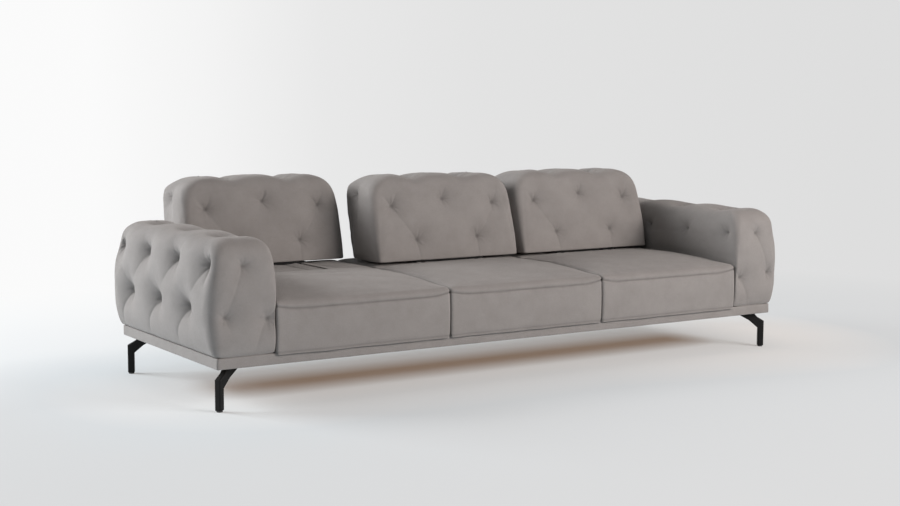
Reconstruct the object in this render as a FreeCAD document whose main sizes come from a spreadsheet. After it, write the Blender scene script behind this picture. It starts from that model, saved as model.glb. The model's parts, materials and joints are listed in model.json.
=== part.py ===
import FreeCAD, Part
import math
import os
import re
import Sketcher

# A sofa on a thin plinth: two tufted arms, a row of sprung seats, and tufted back blocks that slide
# fore and aft on telescopic slides. Millimetres. X runs along the front, -Y faces the sitter's side,
# Z is up from the floor. Lengths named with _y are measured back from the plinth's front face.

SIZES = [
    ("plinth_length", "2756"),
    ("plinth_depth", "950"),
    ("leg_height", "160"),
    ("plinth_height", "42"),
    ("cover_thick", "4"),
    ("rail_width", "40"),
    ("rail_lift", "4"),
    ("cross_width", "100"),
    ("corner_size", "128"),
    ("dust_thick", "1"),
    ("dust_notch", "230"),
    ("leg_inset_x", "21"),
    ("leg_inset_y", "32"),
    ("leg_angle", "30"),
    ("leg_half", "13"),
    ("leg_shoulder", "120"),
    ("leg_bend", "86"),
    ("leg_reach", "126"),
    ("leg_round", "5"),
    ("glide_height", "6"),
    ("plate_thick", "4"),
    ("plate_half", "33"),
    ("leg_screw_near", "75"),
    ("leg_screw_far", "135"),
    ("leg_screw_side", "21"),
    ("leg_screw_size", "5"),
    ("leg_screw_length", "30"),
    ("arm_width", "232"),
    ("arm_top", "643"),
    ("arm_bulge", "42"),
    ("arm_front_bulge", "25"),
    ("arm_rear_bulge", "35"),
    ("arm_corner", "60"),
    ("arm_foam_outer", "30"),
    ("arm_foam_inner", "38"),
    ("arm_foam_end", "45"),
    ("arm_foam_top", "85"),
    ("board_thick", "18"),
    ("arm_bolt_size", "8"),
    ("arm_bolt_length", "80"),
    ("seat_count", "3"),
    ("seat_gap", "2"),
    ("seat_front_proud", "12"),
    ("seat_rear_y", "576"),
    ("seat_seam_z", "364"),
    ("seat_crown_z", "430"),
    ("seat_wall", "16"),
    ("seat_rail_thick", "24"),
    ("seat_rail_top", "326"),
    ("spring_wire", "4"),
    ("spring_rows", "5"),
    ("spring_spacing", "120"),
    ("spring_waves", "17"),
    ("spring_half_run", "12"),
    ("clip_width", "20"),
    ("clip_height", "9"),
    ("pad_thick", "11"),
    ("deck_gap", "3"),
    ("deck_top", "400"),
    ("deck_pad_rise", "22"),
    ("deck_middle_rise", "16"),
    ("rear_cover_thick", "12"),
    ("back_bottom", "432"),
    ("back_top", "807"),
    ("back_width", "734"),
    ("back_front_y", "574"),
    ("back_depth", "248"),
    ("back_lean_front", "95"),
    ("back_lean_rear", "106"),
    ("back_top_corner", "98"),
    ("back_edge", "45"),
    ("back_travel", "245"),
    ("support_width", "350"),
    ("tray_thick", "3"),
    ("slide_offset", "140"),
    ("slide_wall", "2.5"),
    ("slide_play", "0.5"),
    ("channel_half", "23"),
    ("channel_tall", "22"),
    ("channel_mouth", "13"),
    ("link_mouth", "11.5"),
    ("neck_half", "9"),
    ("neck_rise", "2"),
    ("link_length", "300"),
    ("bar_length", "185"),
    ("carriage_thick", "5"),
    ("slide_screw_size", "4"),
    ("back_bolt_size", "8"),
    ("back_bolt_length", "32"),
    ("tuft_depth", "26"),
    ("tuft_reach", "44"),
    ("plinth_bottom", "=leg_height"),
    ("plinth_top", "=leg_height + plinth_height"),
    ("rail_bottom", "=leg_height + rail_lift"),
    ("half_length", "=plinth_length / 2"),
    ("rail_end", "=half_length - cover_thick"),
    ("seat_half_row", "=half_length - arm_width"),
    ("seat_pitch", "=2 * seat_half_row / seat_count"),
    ("seat_half", "=(seat_pitch - seat_gap) / 2"),
    ("frame_half", "=seat_half - seat_wall"),
    ("frame_front_y", "=seat_wall - seat_front_proud"),
    ("frame_rear_y", "=seat_rear_y - seat_wall"),
    ("wire_z", "=seat_rail_top + clip_height / 2"),
    ("pad_bottom", "=wire_z + spring_wire / 2 + 0.5"),
    ("pad_top", "=pad_bottom + pad_thick"),
    ("deck_front_y", "=seat_rear_y + deck_gap"),
    ("deck_rear_y", "=plinth_depth - 2 - rear_cover_thick"),
    ("board_bottom", "=deck_top - board_thick"),
    ("deck_half", "=seat_half_row - 2"),
    ("slide_front_y", "=deck_front_y + 6"),
    ("slide_base", "=deck_top + tray_thick"),
    ("link_half", "=channel_half - slide_wall - slide_play"),
    ("bar_half", "=link_half - slide_wall - slide_play"),
    ("link_low", "=slide_wall + slide_play"),
    ("link_high", "=channel_tall - slide_wall - slide_play"),
    ("bar_low", "=link_low + slide_wall + slide_play"),
    ("bar_high", "=link_high - slide_wall - slide_play"),
    ("neck_top", "=channel_tall + neck_rise"),
    ("carriage_bottom", "=slide_base + neck_top"),
    ("base_board_low", "=back_bottom + 4"),
    ("base_board_high", "=base_board_low + 22"),
    ("back_rear_reach", "=back_front_y + back_depth + back_lean_rear + back_travel"),
    ("front_y", "=(arm_front_bulge - back_rear_reach) / 2"),
]

doc = FreeCAD.newDocument("sofa")
sheet = doc.addObject("Spreadsheet::Sheet", "Sizes")
for row, (alias, text) in enumerate(SIZES, 1):
    cell = "A%d" % row
    sheet.set(cell, text)
    sheet.setAlias(cell, alias)
doc.recompute()

NAMES = {alias for alias, text in SIZES}
V = FreeCAD.Vector
nodes = []


def size(alias):
    return float(sheet.get(alias))


def linked(text):
    def named(found):
        word = found.group(0)
        return "Sizes." + word if word in NAMES else word

    return re.sub(r"[a-z][a-z_]*", named, text)


def bind(thing, prop, text):
    thing.setExpression(prop, linked(text))


def keep(thing, label):
    thing.Label = label
    nodes.append(thing)
    return thing


def moved_back(thing, label):
    bind(thing, "Placement.Base.y", "front_y")
    return keep(thing, label)


def box(name, x0, x1, y0, y1, z0, z1):
    block = doc.addObject("Part::Box", name)
    bind(block, "Length", "(%s) - (%s)" % (x1, x0))
    bind(block, "Width", "(%s) - (%s)" % (y1, y0))
    bind(block, "Height", "(%s) - (%s)" % (z1, z0))
    bind(block, "Placement.Base.x", x0)
    bind(block, "Placement.Base.y", y0)
    bind(block, "Placement.Base.z", z0)
    return block


def node_box(label, x0, x1, y0, y1, z0, z1):
    return keep(box(label, x0, x1, "front_y + " + y0, "front_y + " + y1, z0, z1), label)


def group(label, things):
    together = doc.addObject("Part::Compound", label)
    together.Links = things
    return moved_back(together, label)


def cut(label, base, tool):
    piece = doc.addObject("Part::Cut", label)
    piece.Base = base
    piece.Tool = tool
    return moved_back(piece, label)


def formed(name, shape):
    thing = doc.addObject("Part::Feature", name)
    thing.Shape = shape
    return thing


def sketch(body, name, role, points, lift=None):
    drawing = body.newObject("Sketcher::SketchObject", name)
    plane = [f for f in body.Origin.OriginFeatures if f.Role == role][0]
    drawing.AttachmentSupport = [(plane, "")]
    drawing.MapMode = "FlatFace"
    if lift:
        bind(drawing, "AttachmentOffset.Base.z", lift)
    start = [V(i * 3.0, (i % 2) * 2.0 + i, 0) for i in range(len(points))]
    count = len(points)
    for i in range(count):
        drawing.addGeometry(Part.LineSegment(start[i], start[(i + 1) % count]))
    for i in range(count):
        drawing.addConstraint(Sketcher.Constraint("Coincident", i, 2, (i + 1) % count, 1))
    for i, (along, up) in enumerate(points):
        for kind, letter, text in (("DistanceX", "x", along), ("DistanceY", "y", up)):
            at = start[i].x if letter == "x" else start[i].y
            made = drawing.addConstraint(Sketcher.Constraint(kind, -1, 1, i, 1, at))
            drawing.renameConstraint(made, "%s%d" % (letter, i))
            bind(drawing, "Constraints.%s%d" % (letter, i), text)
    return drawing


def add_hole(drawing, number, along, up, radius):
    ring = drawing.addGeometry(Part.Circle(V(10 * number, 5, 0), V(0, 0, 1), 2))
    for kind, letter, text in (("DistanceX", "x", along), ("DistanceY", "y", up)):
        made = drawing.addConstraint(Sketcher.Constraint(kind, -1, 1, ring, 3, 10.0))
        drawing.renameConstraint(made, "hole_%s%d" % (letter, number))
        bind(drawing, "Constraints.hole_%s%d" % (letter, number), text)
    made = drawing.addConstraint(Sketcher.Constraint("Radius", ring, 2.0))
    drawing.renameConstraint(made, "hole_r%d" % number)
    bind(drawing, "Constraints.hole_r%d" % number, radius)


def pad(body, name, drawing, length, middle=False, back=False):
    raised = body.newObject("PartDesign::Pad", name)
    raised.Profile = drawing
    bind(raised, "Length", length)
    raised.Midplane = middle
    raised.Reversed = back
    return raised


# Base frame

node_box("base_front_rail", "-rail_end", "rail_end", "cover_thick", "cover_thick + rail_width",
         "rail_bottom", "plinth_top")
node_box("base_rear_rail", "-rail_end", "rail_end", "plinth_depth - cover_thick - rail_width",
         "plinth_depth - cover_thick", "rail_bottom", "plinth_top")
rail_inner = "cover_thick + rail_width"
rail_back = "plinth_depth - cover_thick - rail_width"


def upright_bolt(x, y, z, across, length):
    shank = Part.makeCylinder(across / 2, length, V(x, y, z))
    head = Part.makeCylinder(across, across * 0.5, V(x, y, z))
    return shank.fuse(head).removeSplitter()


arm_wall_u = size("arm_foam_outer") + size("board_thick") / 2
bolt_rows = [size("plinth_depth") * part for part in (0.2, 0.5, 0.8)]
bolts = []
for side in (-1, 1):
    for row_y in bolt_rows:
        bolts.append(upright_bolt(side * (size("half_length") - arm_wall_u), row_y, size("rail_bottom"),
                                  size("arm_bolt_size"), size("arm_bolt_length")))
arm_bolts = formed("bolt_forms", Part.makeCompound(bolts))
group("arm_bolts", [arm_bolts])

end_rails = []
for side, low, high in (("left", "-rail_end", "rail_width - rail_end"),
                        ("right", "rail_end - rail_width", "rail_end")):
    end_rails.append(box("end_rail_" + side, low, high, rail_inner, rail_back,
                         "rail_bottom", "plinth_top"))
both_ends = doc.addObject("Part::Compound", "end_rail_blanks")
both_ends.Links = end_rails
cut("base_end_rails", both_ends, arm_bolts)

cross_rails = []
for number in range(4):
    centre = "(%d * seat_half_row / 3)" % (2 * number - 3)
    cross_rails.append(box("cross_rail_%d" % number, centre + " - cross_width / 2",
                           centre + " + cross_width / 2", rail_inner, rail_back,
                           "rail_bottom", "plinth_top"))
cross_blanks = doc.addObject("Part::Compound", "cross_blanks")
cross_blanks.Links = cross_rails
group("base_cross_rails", [cross_blanks])

# Plinth cover strips and dust cover

node_box("plinth_cover_front", "-half_length", "half_length", "0", "cover_thick",
         "plinth_bottom", "plinth_top")
node_box("plinth_cover_rear", "-half_length", "half_length", "plinth_depth - cover_thick",
         "plinth_depth", "plinth_bottom", "plinth_top")
node_box("plinth_cover_left", "-half_length", "cover_thick - half_length", "cover_thick",
         "plinth_depth - cover_thick", "plinth_bottom", "plinth_top")
node_box("plinth_cover_right", "half_length - cover_thick", "half_length", "cover_thick",
         "plinth_depth - cover_thick", "plinth_bottom", "plinth_top")

dust = doc.addObject("PartDesign::Body", "dust_cover")
edge_x, edge_y0, edge_y1 = "(rail_end - 4)", "(cover_thick + 4)", "(plinth_depth - cover_thick - 4)"
notch_x = "(%s - dust_notch)" % edge_x
notch_y0 = "(%s + dust_notch)" % edge_y0
notch_y1 = "(%s - dust_notch)" % edge_y1
outline = [("-" + notch_x, edge_y0), (notch_x, edge_y0), (notch_x, notch_y0), (edge_x, notch_y0),
           (edge_x, notch_y1), (notch_x, notch_y1), (notch_x, edge_y1), ("-" + notch_x, edge_y1),
           ("-" + notch_x, notch_y1), ("-" + edge_x, notch_y1), ("-" + edge_x, notch_y0),
           ("-" + notch_x, notch_y0)]
pad(dust, "dust_sheet", sketch(dust, "dust_outline", "XY_Plane", outline), "dust_thick")
bind(dust, "Placement.Base.y", "front_y")
bind(dust, "Placement.Base.z", "rail_bottom - dust_thick")
keep(dust, "dust_cover")

# Legs: a post with a slanted strut, a top plate with screw holes, and a glide

LEGS = (("front_left", -1, 0, 1), ("front_right", 1, 0, 1), ("rear_left", -1, 1, -1),
        ("rear_right", 1, 1, -1))


def leg_place(side, at_rear, inward):
    x = side * (size("half_length") - size("leg_inset_x"))
    y = size("plinth_depth") - size("leg_inset_y") if at_rear else size("leg_inset_y")
    turn = math.degrees(math.atan2(inward * math.sin(math.radians(size("leg_angle"))),
                                   -side * math.cos(math.radians(size("leg_angle")))))
    return FreeCAD.Placement(V(x, y, 0), FreeCAD.Rotation(V(0, 0, 1), turn))


for name, side, at_rear, inward in LEGS:
    leg = doc.addObject("PartDesign::Body", "leg_" + name)
    shape_points = [("-leg_half", "glide_height"), ("leg_half", "glide_height"),
                    ("leg_half", "leg_bend"), ("leg_reach * 0.42", "leg_height - 40"),
                    ("leg_reach", "leg_height"), ("leg_reach * 0.3", "leg_height"),
                    ("leg_reach * 0.15", "leg_height - 21"),
                    ("-leg_half", "leg_shoulder")]
    web = pad(leg, "web_" + name, sketch(leg, "web_outline_" + name, "XZ_Plane", shape_points),
              "2 * leg_half", middle=True)
    doc.recompute()
    half = size("leg_half")
    soft = []
    for i, edge in enumerate(web.Shape.Edges, 1):
        on_side = all(abs(abs(v.Y) - half) < 0.01 for v in edge.Vertexes)
        same_side = len({v.Y > 0 for v in edge.Vertexes}) == 1
        at_top = all(abs(v.Z - size("leg_height")) < 0.01 for v in edge.Vertexes)
        if on_side and same_side and not at_top:
            soft.append("Edge%d" % i)
    rounded = leg.newObject("PartDesign::Fillet", "rounded_" + name)
    rounded.Base = (web, soft)
    bind(rounded, "Radius", "leg_round")
    corners = [("leg_reach * 0.2", "-plate_half"), ("leg_screw_far + 17", "-plate_half"),
               ("leg_screw_far + 17", "plate_half"), ("leg_reach * 0.2", "plate_half")]
    plate_drawing = sketch(leg, "plate_outline_" + name, "XY_Plane", corners, lift="leg_height")
    holes = [("leg_screw_near", "-leg_screw_side"), ("leg_screw_far", "-leg_screw_side"),
             ("leg_screw_near", "leg_screw_side"), ("leg_screw_far", "leg_screw_side")]
    for number, (along, up) in enumerate(holes):
        add_hole(plate_drawing, number, along, up, "leg_screw_size / 2 + 0.3")
    pad(leg, "plate_" + name, plate_drawing, "plate_thick")
    place = leg_place(side, at_rear, inward)
    leg.Placement = place
    bind(leg, "Placement.Base.x", "%d * (half_length - leg_inset_x)" % side)
    from_front = "plinth_depth - leg_inset_y" if at_rear else "leg_inset_y"
    bind(leg, "Placement.Base.y", "front_y + " + from_front)
    keep(leg, "leg_" + name)

screws = []
glides = []
for name, side, at_rear, inward in LEGS:
    place = leg_place(side, at_rear, inward)
    for along in (size("leg_screw_near"), size("leg_screw_far")):
        for aside in (-size("leg_screw_side"), size("leg_screw_side")):
            spot = place.multVec(V(along, aside, size("leg_height")))
            shank = Part.makeCylinder(size("leg_screw_size") / 2, size("leg_screw_length"), spot)
            head = Part.makeCylinder(size("leg_screw_size"), 2.5, spot - V(0, 0, 2.5))
            screws.append(shank.fuse(head).removeSplitter())
    foot = Part.makeCylinder(size("leg_half") - 1, size("glide_height"), place.Base)
    glides.append(foot.makeChamfer(1.5, [e for e in foot.Edges if e.BoundBox.ZMax < 0.1]))
leg_screws = formed("screw_forms", Part.makeCompound(screws))
group("leg_screws", [leg_screws])
group("leg_glides", [formed("glide_forms", Part.makeCompound(glides))])

blocks = []
for name, side, at_rear, inward in LEGS:
    if side < 0:
        low, high = "rail_width - rail_end", "rail_width + corner_size - rail_end"
    else:
        low, high = "rail_end - rail_width - corner_size", "rail_end - rail_width"
    near = rail_back + " - corner_size" if at_rear else rail_inner
    far = rail_back if at_rear else rail_inner + " + corner_size"
    blocks.append(box("corner_" + name, low, high, near, far, "rail_bottom", "plinth_top"))
corner_blanks = doc.addObject("Part::Compound", "corner_blanks")
corner_blanks.Links = blocks
cut("corner_blocks", corner_blanks, leg_screws)

# Soft forms: stacked rounded outlines lofted into one puffed solid


def rounded_outline(x0, x1, y0, y1, z, radius):
    radius = max(1.0, min(radius, (x1 - x0) / 2 - 1, (y1 - y0) / 2 - 1))
    step = radius * (1 - math.sqrt(0.5))
    corners = [(x1, y0, x1 - radius, y0, x1 - step, y0 + step, x1, y0 + radius),
               (x1, y1, x1, y1 - radius, x1 - step, y1 - step, x1 - radius, y1),
               (x0, y1, x0 + radius, y1, x0 + step, y1 - step, x0, y1 - radius),
               (x0, y0, x0, y0 + radius, x0 + step, y0 + step, x0 + radius, y0)]
    edges = []
    last = V(x0 + radius, y0, z)
    for corner in corners:
        begin, middle, end = (V(corner[n], corner[n + 1], z) for n in (2, 4, 6))
        edges.append(Part.makeLine(last, begin))
        edges.append(Part.Arc(begin, middle, end).toShape())
        last = end
    return Part.Wire(edges)


def stacked(outlines):
    return Part.makeLoft([rounded_outline(*one) for one in outlines], True, False)


def tuft(blank, outside, inward, depth):
    inward = V(inward)
    inward.normalize()
    ray = Part.makeLine(outside, outside + inward * 400)
    hit = blank.common(ray)
    first = min((v.Point for v in hit.Vertexes), key=lambda p: (p - outside).Length)
    reach, bottom, lift = size("tuft_reach"), 4.0, 14.0
    profile = [V(0, 0, depth), V(bottom, 0, depth), V(reach, 0, 0), V(reach * 1.5, 0, -lift),
               V(0, 0, -lift)]
    bend = V(bottom + (reach - bottom) * 0.36, 0, depth * 0.42)
    edges = [Part.makeLine(profile[0], profile[1]), Part.Arc(profile[1], bend, profile[2]).toShape(),
             Part.makeLine(profile[2], profile[3]), Part.makeLine(profile[3], profile[4]),
             Part.makeLine(profile[4], profile[0])]
    tool = Part.Face(Part.Wire(edges)).revolve(V(0, 0, 0), V(0, 0, 1), 360)
    tool.Placement = FreeCAD.Placement(first, FreeCAD.Rotation(V(0, 0, 1), inward))
    return tool


def tufted(blank, spots):
    for outside, inward, depth in spots:
        blank = blank.cut(tuft(blank, outside, inward, depth))
    return blank


# Arms

half_length, arm_width = size("half_length"), size("arm_width")
plinth_depth, plinth_top = size("plinth_depth"), size("plinth_top")
bulge, front_bulge, rear_bulge = size("arm_bulge"), size("arm_front_bulge"), size("arm_rear_bulge")
arm_rise = size("arm_top") - plinth_top
arm_middle = arm_width * 0.476
ARM_STACK = ((0.0, -0.02, 1.0, 0.0, 0.4), (0.08, 0.57, 1.0, 0.55, 0.8), (0.2, 0.88, 1.0, 0.84, 0.95),
             (0.38, 1.0, 1.0, 1.0, 1.0), (0.58, 0.86, 1.0, 0.92, 1.0), (0.76, 0.43, 0.99, 0.52, 0.95),
             (0.88, -0.12, 0.927, -0.35, 0.85), (0.96, -1.02, 0.758, -1.4, 0.65),
             (0.988, -1.72, 0.63, -2.3, 0.5), (1.0, -2.1, 0.558, -2.8, 0.3))
for side, name in ((-1, "left"), (1, "right")):
    inner_x = side * (half_length - arm_width)
    outlines = []
    for rise, out, inside, ahead, corner in ARM_STACK:
        outer = side * (half_length + bulge * out)
        inner = side * (half_length - arm_width * inside)
        outlines.append((min(outer, inner), max(outer, inner), -front_bulge * ahead,
                         plinth_depth + rear_bulge * ahead, plinth_top + arm_rise * rise,
                         size("arm_corner") * corner))
    blank = stacked(outlines)
    spots = []
    step = plinth_depth * 0.302
    middle_y = plinth_depth * 0.505
    for row in (-1.5, -0.5, 0.5, 1.5):
        along = middle_y + row * step
        spots.append((V(side * (half_length + 200), along, plinth_top + arm_rise * 0.80),
                      V(-side, 0, -0.12), size("tuft_depth")))
        if abs(row) < 1:
            spots.append((V(inner_x - side * 100, along, plinth_top + arm_rise * 0.85),
                          V(side, 0, -0.2), size("tuft_depth") * 0.7))
    for row in (-1, 0, 1):
        along = middle_y + row * step
        spots.append((V(side * (half_length + 200), along, plinth_top + arm_rise * 0.36),
                      V(-side, 0, 0), size("tuft_depth")))
        spots.append((V(side * (half_length - arm_middle), along, size("arm_top") + 100), V(0, 0, -1),
                      size("tuft_depth")))
    for across, up in ((0.473, 0.76), (0.143, 0.335), (0.88, 0.335)):
        ahead = V(side * (half_length - arm_width * across), -200, plinth_top + arm_rise * up)
        spots.append((ahead, V(0, 1, 0), size("tuft_depth")))
    frame_u0, frame_u1 = "arm_foam_outer", "arm_width - arm_foam_inner"
    if side < 0:
        low, high = "%s - half_length" % frame_u0, "%s - half_length" % frame_u1
    else:
        low, high = "half_length - (%s)" % frame_u1, "half_length - %s" % frame_u0
    shell = box("arm_block_" + name, low, high, "arm_foam_end", "plinth_depth - arm_foam_end",
                "plinth_top", "arm_top - arm_foam_top")
    hollow = box("arm_hollow_" + name, low + " + board_thick", high + " - board_thick",
                 "arm_foam_end + board_thick", "plinth_depth - arm_foam_end - board_thick",
                 "plinth_top", "arm_top - arm_foam_top - board_thick")
    frame_blank = doc.addObject("Part::Cut", "arm_shell_" + name)
    frame_blank.Base = shell
    frame_blank.Tool = hollow
    cut("arm_frame_" + name, frame_blank, arm_bolts)
    cut("arm_pad_" + name, formed("arm_form_" + name, tufted(blank, spots)), shell)

# Seats: rails, springs, clips, pads and cushions

seat_count = int(size("seat_count"))
seat_centres = [size("seat_pitch") * (i - (seat_count - 1) / 2) for i in range(seat_count)]
names = ("left", "middle", "right")
front_rails, rear_rails, side_rails, clip_forms, spring_pads, springs = [], [], [], [], [], []
wire, run = size("spring_wire"), size("spring_half_run")
spring_y0 = size("frame_front_y") + size("seat_rail_thick") / 2
spring_y1 = size("frame_rear_y") - size("seat_rail_thick") / 2
waves = int(size("spring_waves"))
step = (spring_y1 - spring_y0) / waves
path = []
for wave in range(waves + 1):
    way = 1 if wave % 2 == 0 else -1
    y, z = spring_y0 + wave * step, size("wire_z")
    path.append(Part.makeLine(V(-way * run, y, z), V(way * run, y, z)))
    if wave < waves:
        path.append(Part.Arc(V(way * run, y, z), V(way * (run + step / 2), y + step / 2, z),
                             V(way * run, y + step, z)).toShape())
ring = Part.Wire([Part.Circle(V(-run, spring_y0, size("wire_z")), V(1, 0, 0), wire / 2).toShape()])
one_spring = Part.Wire(path).makePipeShell([ring], True, False)
clip_depth = size("seat_rail_thick") * 0.6
clip_blank = Part.makeBox(size("clip_width"), clip_depth, size("clip_height"),
                          V(-size("clip_width") / 2, -clip_depth / 2, size("seat_rail_top")))
clip_bore = Part.makeCylinder(wire / 2 + 0.1, 60, V(-30, 0, size("wire_z")), V(1, 0, 0))
one_clip = clip_blank.cut(clip_bore)
rows = int(size("spring_rows"))
for number, centre in enumerate(seat_centres):
    middle = "(%s * seat_pitch)" % (number - 1)
    front_rails.append(box("front_rail_%d" % number, middle + " - frame_half", middle + " + frame_half",
                           "frame_front_y", "frame_front_y + seat_rail_thick",
                           "plinth_top", "seat_rail_top"))
    rear_rails.append(box("rear_rail_%d" % number, middle + " - frame_half", middle + " + frame_half",
                          "frame_rear_y - seat_rail_thick", "frame_rear_y",
                          "plinth_top", "seat_rail_top"))
    for low, high in ((" - frame_half", " - frame_half + seat_rail_thick"),
                      (" + frame_half - seat_rail_thick", " + frame_half")):
        side_rails.append(box("side_rail_%d" % len(side_rails), middle + low, middle + high,
                              "frame_front_y + seat_rail_thick", "frame_rear_y - seat_rail_thick",
                              "plinth_top", "seat_rail_top"))
    inset = "(seat_rail_thick * 1.2)"
    spring_pads.append(box("spring_pad_%d" % number, middle + " - frame_half", middle + " + frame_half",
                           "frame_front_y + " + inset, "frame_rear_y - " + inset,
                           "pad_bottom", "pad_top"))
    for row in range(rows):
        x = centre + (row - (rows - 1) / 2) * size("spring_spacing")
        springs.append(one_spring.translated(V(x, 0, 0)))
        for y in (spring_y0, spring_y1):
            clip_forms.append(one_clip.translated(V(x, y, 0)))
group("seat_front_rails", front_rails)
group("seat_rear_rails", rear_rails)
group("seat_side_rails", side_rails)
group("seat_springs", [formed("spring_forms", Part.makeCompound(springs))])
group("spring_clips", [formed("clip_forms", Part.makeCompound(clip_forms))])
group("spring_pads", spring_pads)

seam, crown = size("seat_seam_z"), size("seat_crown_z")
front_y0, rear_y1 = -size("seat_front_proud"), size("seat_rear_y")
SEAT_STACK = ((0.0, 3.0), (0.08, 0.6), (0.35, 0.0), (0.65, 0.4), (1.0, 2.5))


def crown_face(low, high, floor, flat):
    """Outline of a crowned top: a tight roll at each end and a slow rise between."""
    span = (high - low).Length
    way = (high - low).normalize()

    def spot(along, z):
        return V(low.x + way.x * along, low.y + way.y * along, z)

    rise = crown - seam
    roll, corner = seam + rise * 0.4, seam + rise * 0.24
    peak = spot(span * 0.55, crown)
    edges = [Part.Arc(spot(0, seam + 1), spot(5, corner), spot(20, roll)).toShape()]
    if flat:
        last = seam + rise * 0.88
        edges.append(Part.Arc(spot(20, roll), spot(span * 0.27, seam + rise * 0.84), peak).toShape())
        edges.append(Part.Arc(peak, spot(span * 0.8, crown - 2.0), spot(span, last)).toShape())
    else:
        last = seam + 1
        edges.append(Part.Arc(spot(20, roll), spot(span * 0.5, crown), spot(span - 20, roll)).toShape())
        edges.append(Part.Arc(spot(span - 20, roll), spot(span - 5, corner), spot(span, last)).toShape())
    edges.append(Part.makeLine(spot(span, last), spot(span, floor)))
    edges.append(Part.makeLine(spot(span, floor), spot(0, floor)))
    edges.append(Part.makeLine(spot(0, floor), spot(0, seam + 1)))
    return Part.Face(Part.Wire(edges))


for number, centre in enumerate(seat_centres):
    half = size("seat_half")
    walls = []
    for rise, draw in SEAT_STACK:
        walls.append((centre - half + draw, centre + half - draw, front_y0 + draw, rear_y1 - draw,
                      plinth_top + (crown + 15 - plinth_top) * rise, size("arm_corner") * 0.4))
    across = crown_face(V(centre - half - 1, front_y0 - 5, 0), V(centre + half + 1, front_y0 - 5, 0),
                        plinth_top - 5, False)
    along = crown_face(V(centre - half - 5, front_y0 - 1, 0), V(centre - half - 5, rear_y1 + 1, 0),
                       plinth_top - 5, True)
    sewn = stacked(walls).common(across.extrude(V(0, rear_y1 - front_y0 + 10, 0)))
    sewn = sewn.common(along.extrude(V(2 * half + 10, 0, 0)))
    hollow = box("seat_hollow_%d" % number, "(%s * seat_pitch) - frame_half" % (number - 1),
                 "(%s * seat_pitch) + frame_half" % (number - 1), "frame_front_y", "frame_rear_y",
                 "plinth_top", "pad_top")
    cut("seat_cushion_" + names[number], formed("seat_form_%d" % number, sewn), hollow)

# Deck behind the seats

screw_spots = []
for centre in seat_centres:
    for offset in (-size("slide_offset"), size("slide_offset")):
        for part in (0.12, 0.88):
            y = size("slide_front_y") + part * (size("deck_rear_y") - size("slide_front_y"))
            screw_spots.append(V(centre + offset, y, size("slide_base")))
slide_screw_forms = []
for spot in screw_spots:
    radius = size("slide_screw_size") / 2
    head = Part.makeCone(radius, radius * 2, size("slide_wall"), spot)
    shank = Part.makeCylinder(radius, 18, spot - V(0, 0, 18))
    slide_screw_forms.append(head.fuse(shank).removeSplitter())
slide_screws = formed("slide_screw_forms", Part.makeCompound(slide_screw_forms))
group("slide_screws", [slide_screws])

deck_sheet = box("deck_sheet", "-deck_half", "deck_half", "deck_front_y", "deck_rear_y",
                 "board_bottom", "deck_top")
cut("deck_board", deck_sheet, slide_screws)
node_box("deck_bearer", "-deck_half", "deck_half", "deck_front_y", "deck_front_y + seat_rail_thick",
         "plinth_top", "board_bottom")
node_box("rear_panel", "-deck_half", "deck_half", "deck_rear_y - board_thick", "deck_rear_y",
         "plinth_top", "board_bottom")
dividers = []
for number in range(4):
    centre = "(%d * (deck_half - board_thick / 2) / 3)" % (2 * number - 3)
    dividers.append(box("divider_%d" % number, centre + " - board_thick / 2",
                        centre + " + board_thick / 2", "deck_front_y + seat_rail_thick",
                        "deck_rear_y - board_thick", "plinth_top", "board_bottom"))
group("deck_dividers", dividers)
node_box("rear_cover", "-deck_half", "deck_half", "deck_rear_y", "deck_rear_y + rear_cover_thick",
         "plinth_top", "deck_top")

PAD_STACK = ((0.0, 1.0), (0.35, 0.0), (0.7, 9.0), (0.92, 34.0), (1.0, 62.0))
support_half = size("support_width") / 2
side_edge = size("seat_half") - 1
middle_edge = size("slide_offset") - size("channel_half") - 5
deck_pads = []
for centre in seat_centres:
    for x0, x1, base, rise in (
            (-side_edge, -support_half - 6, size("deck_top"), size("deck_pad_rise")),
            (support_half + 6, side_edge, size("deck_top"), size("deck_pad_rise")),
            (-middle_edge, middle_edge, size("slide_base"), size("deck_middle_rise"))):
        y0, y1 = size("deck_front_y") + 2, size("deck_rear_y") + size("rear_cover_thick")
        outlines = []
        for part, draw in PAD_STACK:
            outlines.append((centre + x0 + draw, centre + x1 - draw, y0 + draw, y1 - draw,
                             base + rise * part, 14.0))
        deck_pads.append(formed("deck_pad_form_%d" % len(deck_pads), stacked(outlines)))
group("deck_pads", deck_pads)

# Telescopic slides: trays and channels stay, links follow at half speed, bars carry the backs

trays = []
for number in range(3):
    middle = "(%s * seat_pitch)" % (number - 1)
    trays.append(box("tray_%d" % number, middle + " - support_width / 2",
                     middle + " + support_width / 2", "deck_front_y + 2", "deck_rear_y",
                     "deck_top", "slide_base"))
tray_blanks = doc.addObject("Part::Compound", "tray_blanks")
tray_blanks.Links = trays
cut("slide_trays", tray_blanks, slide_screws)

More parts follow.
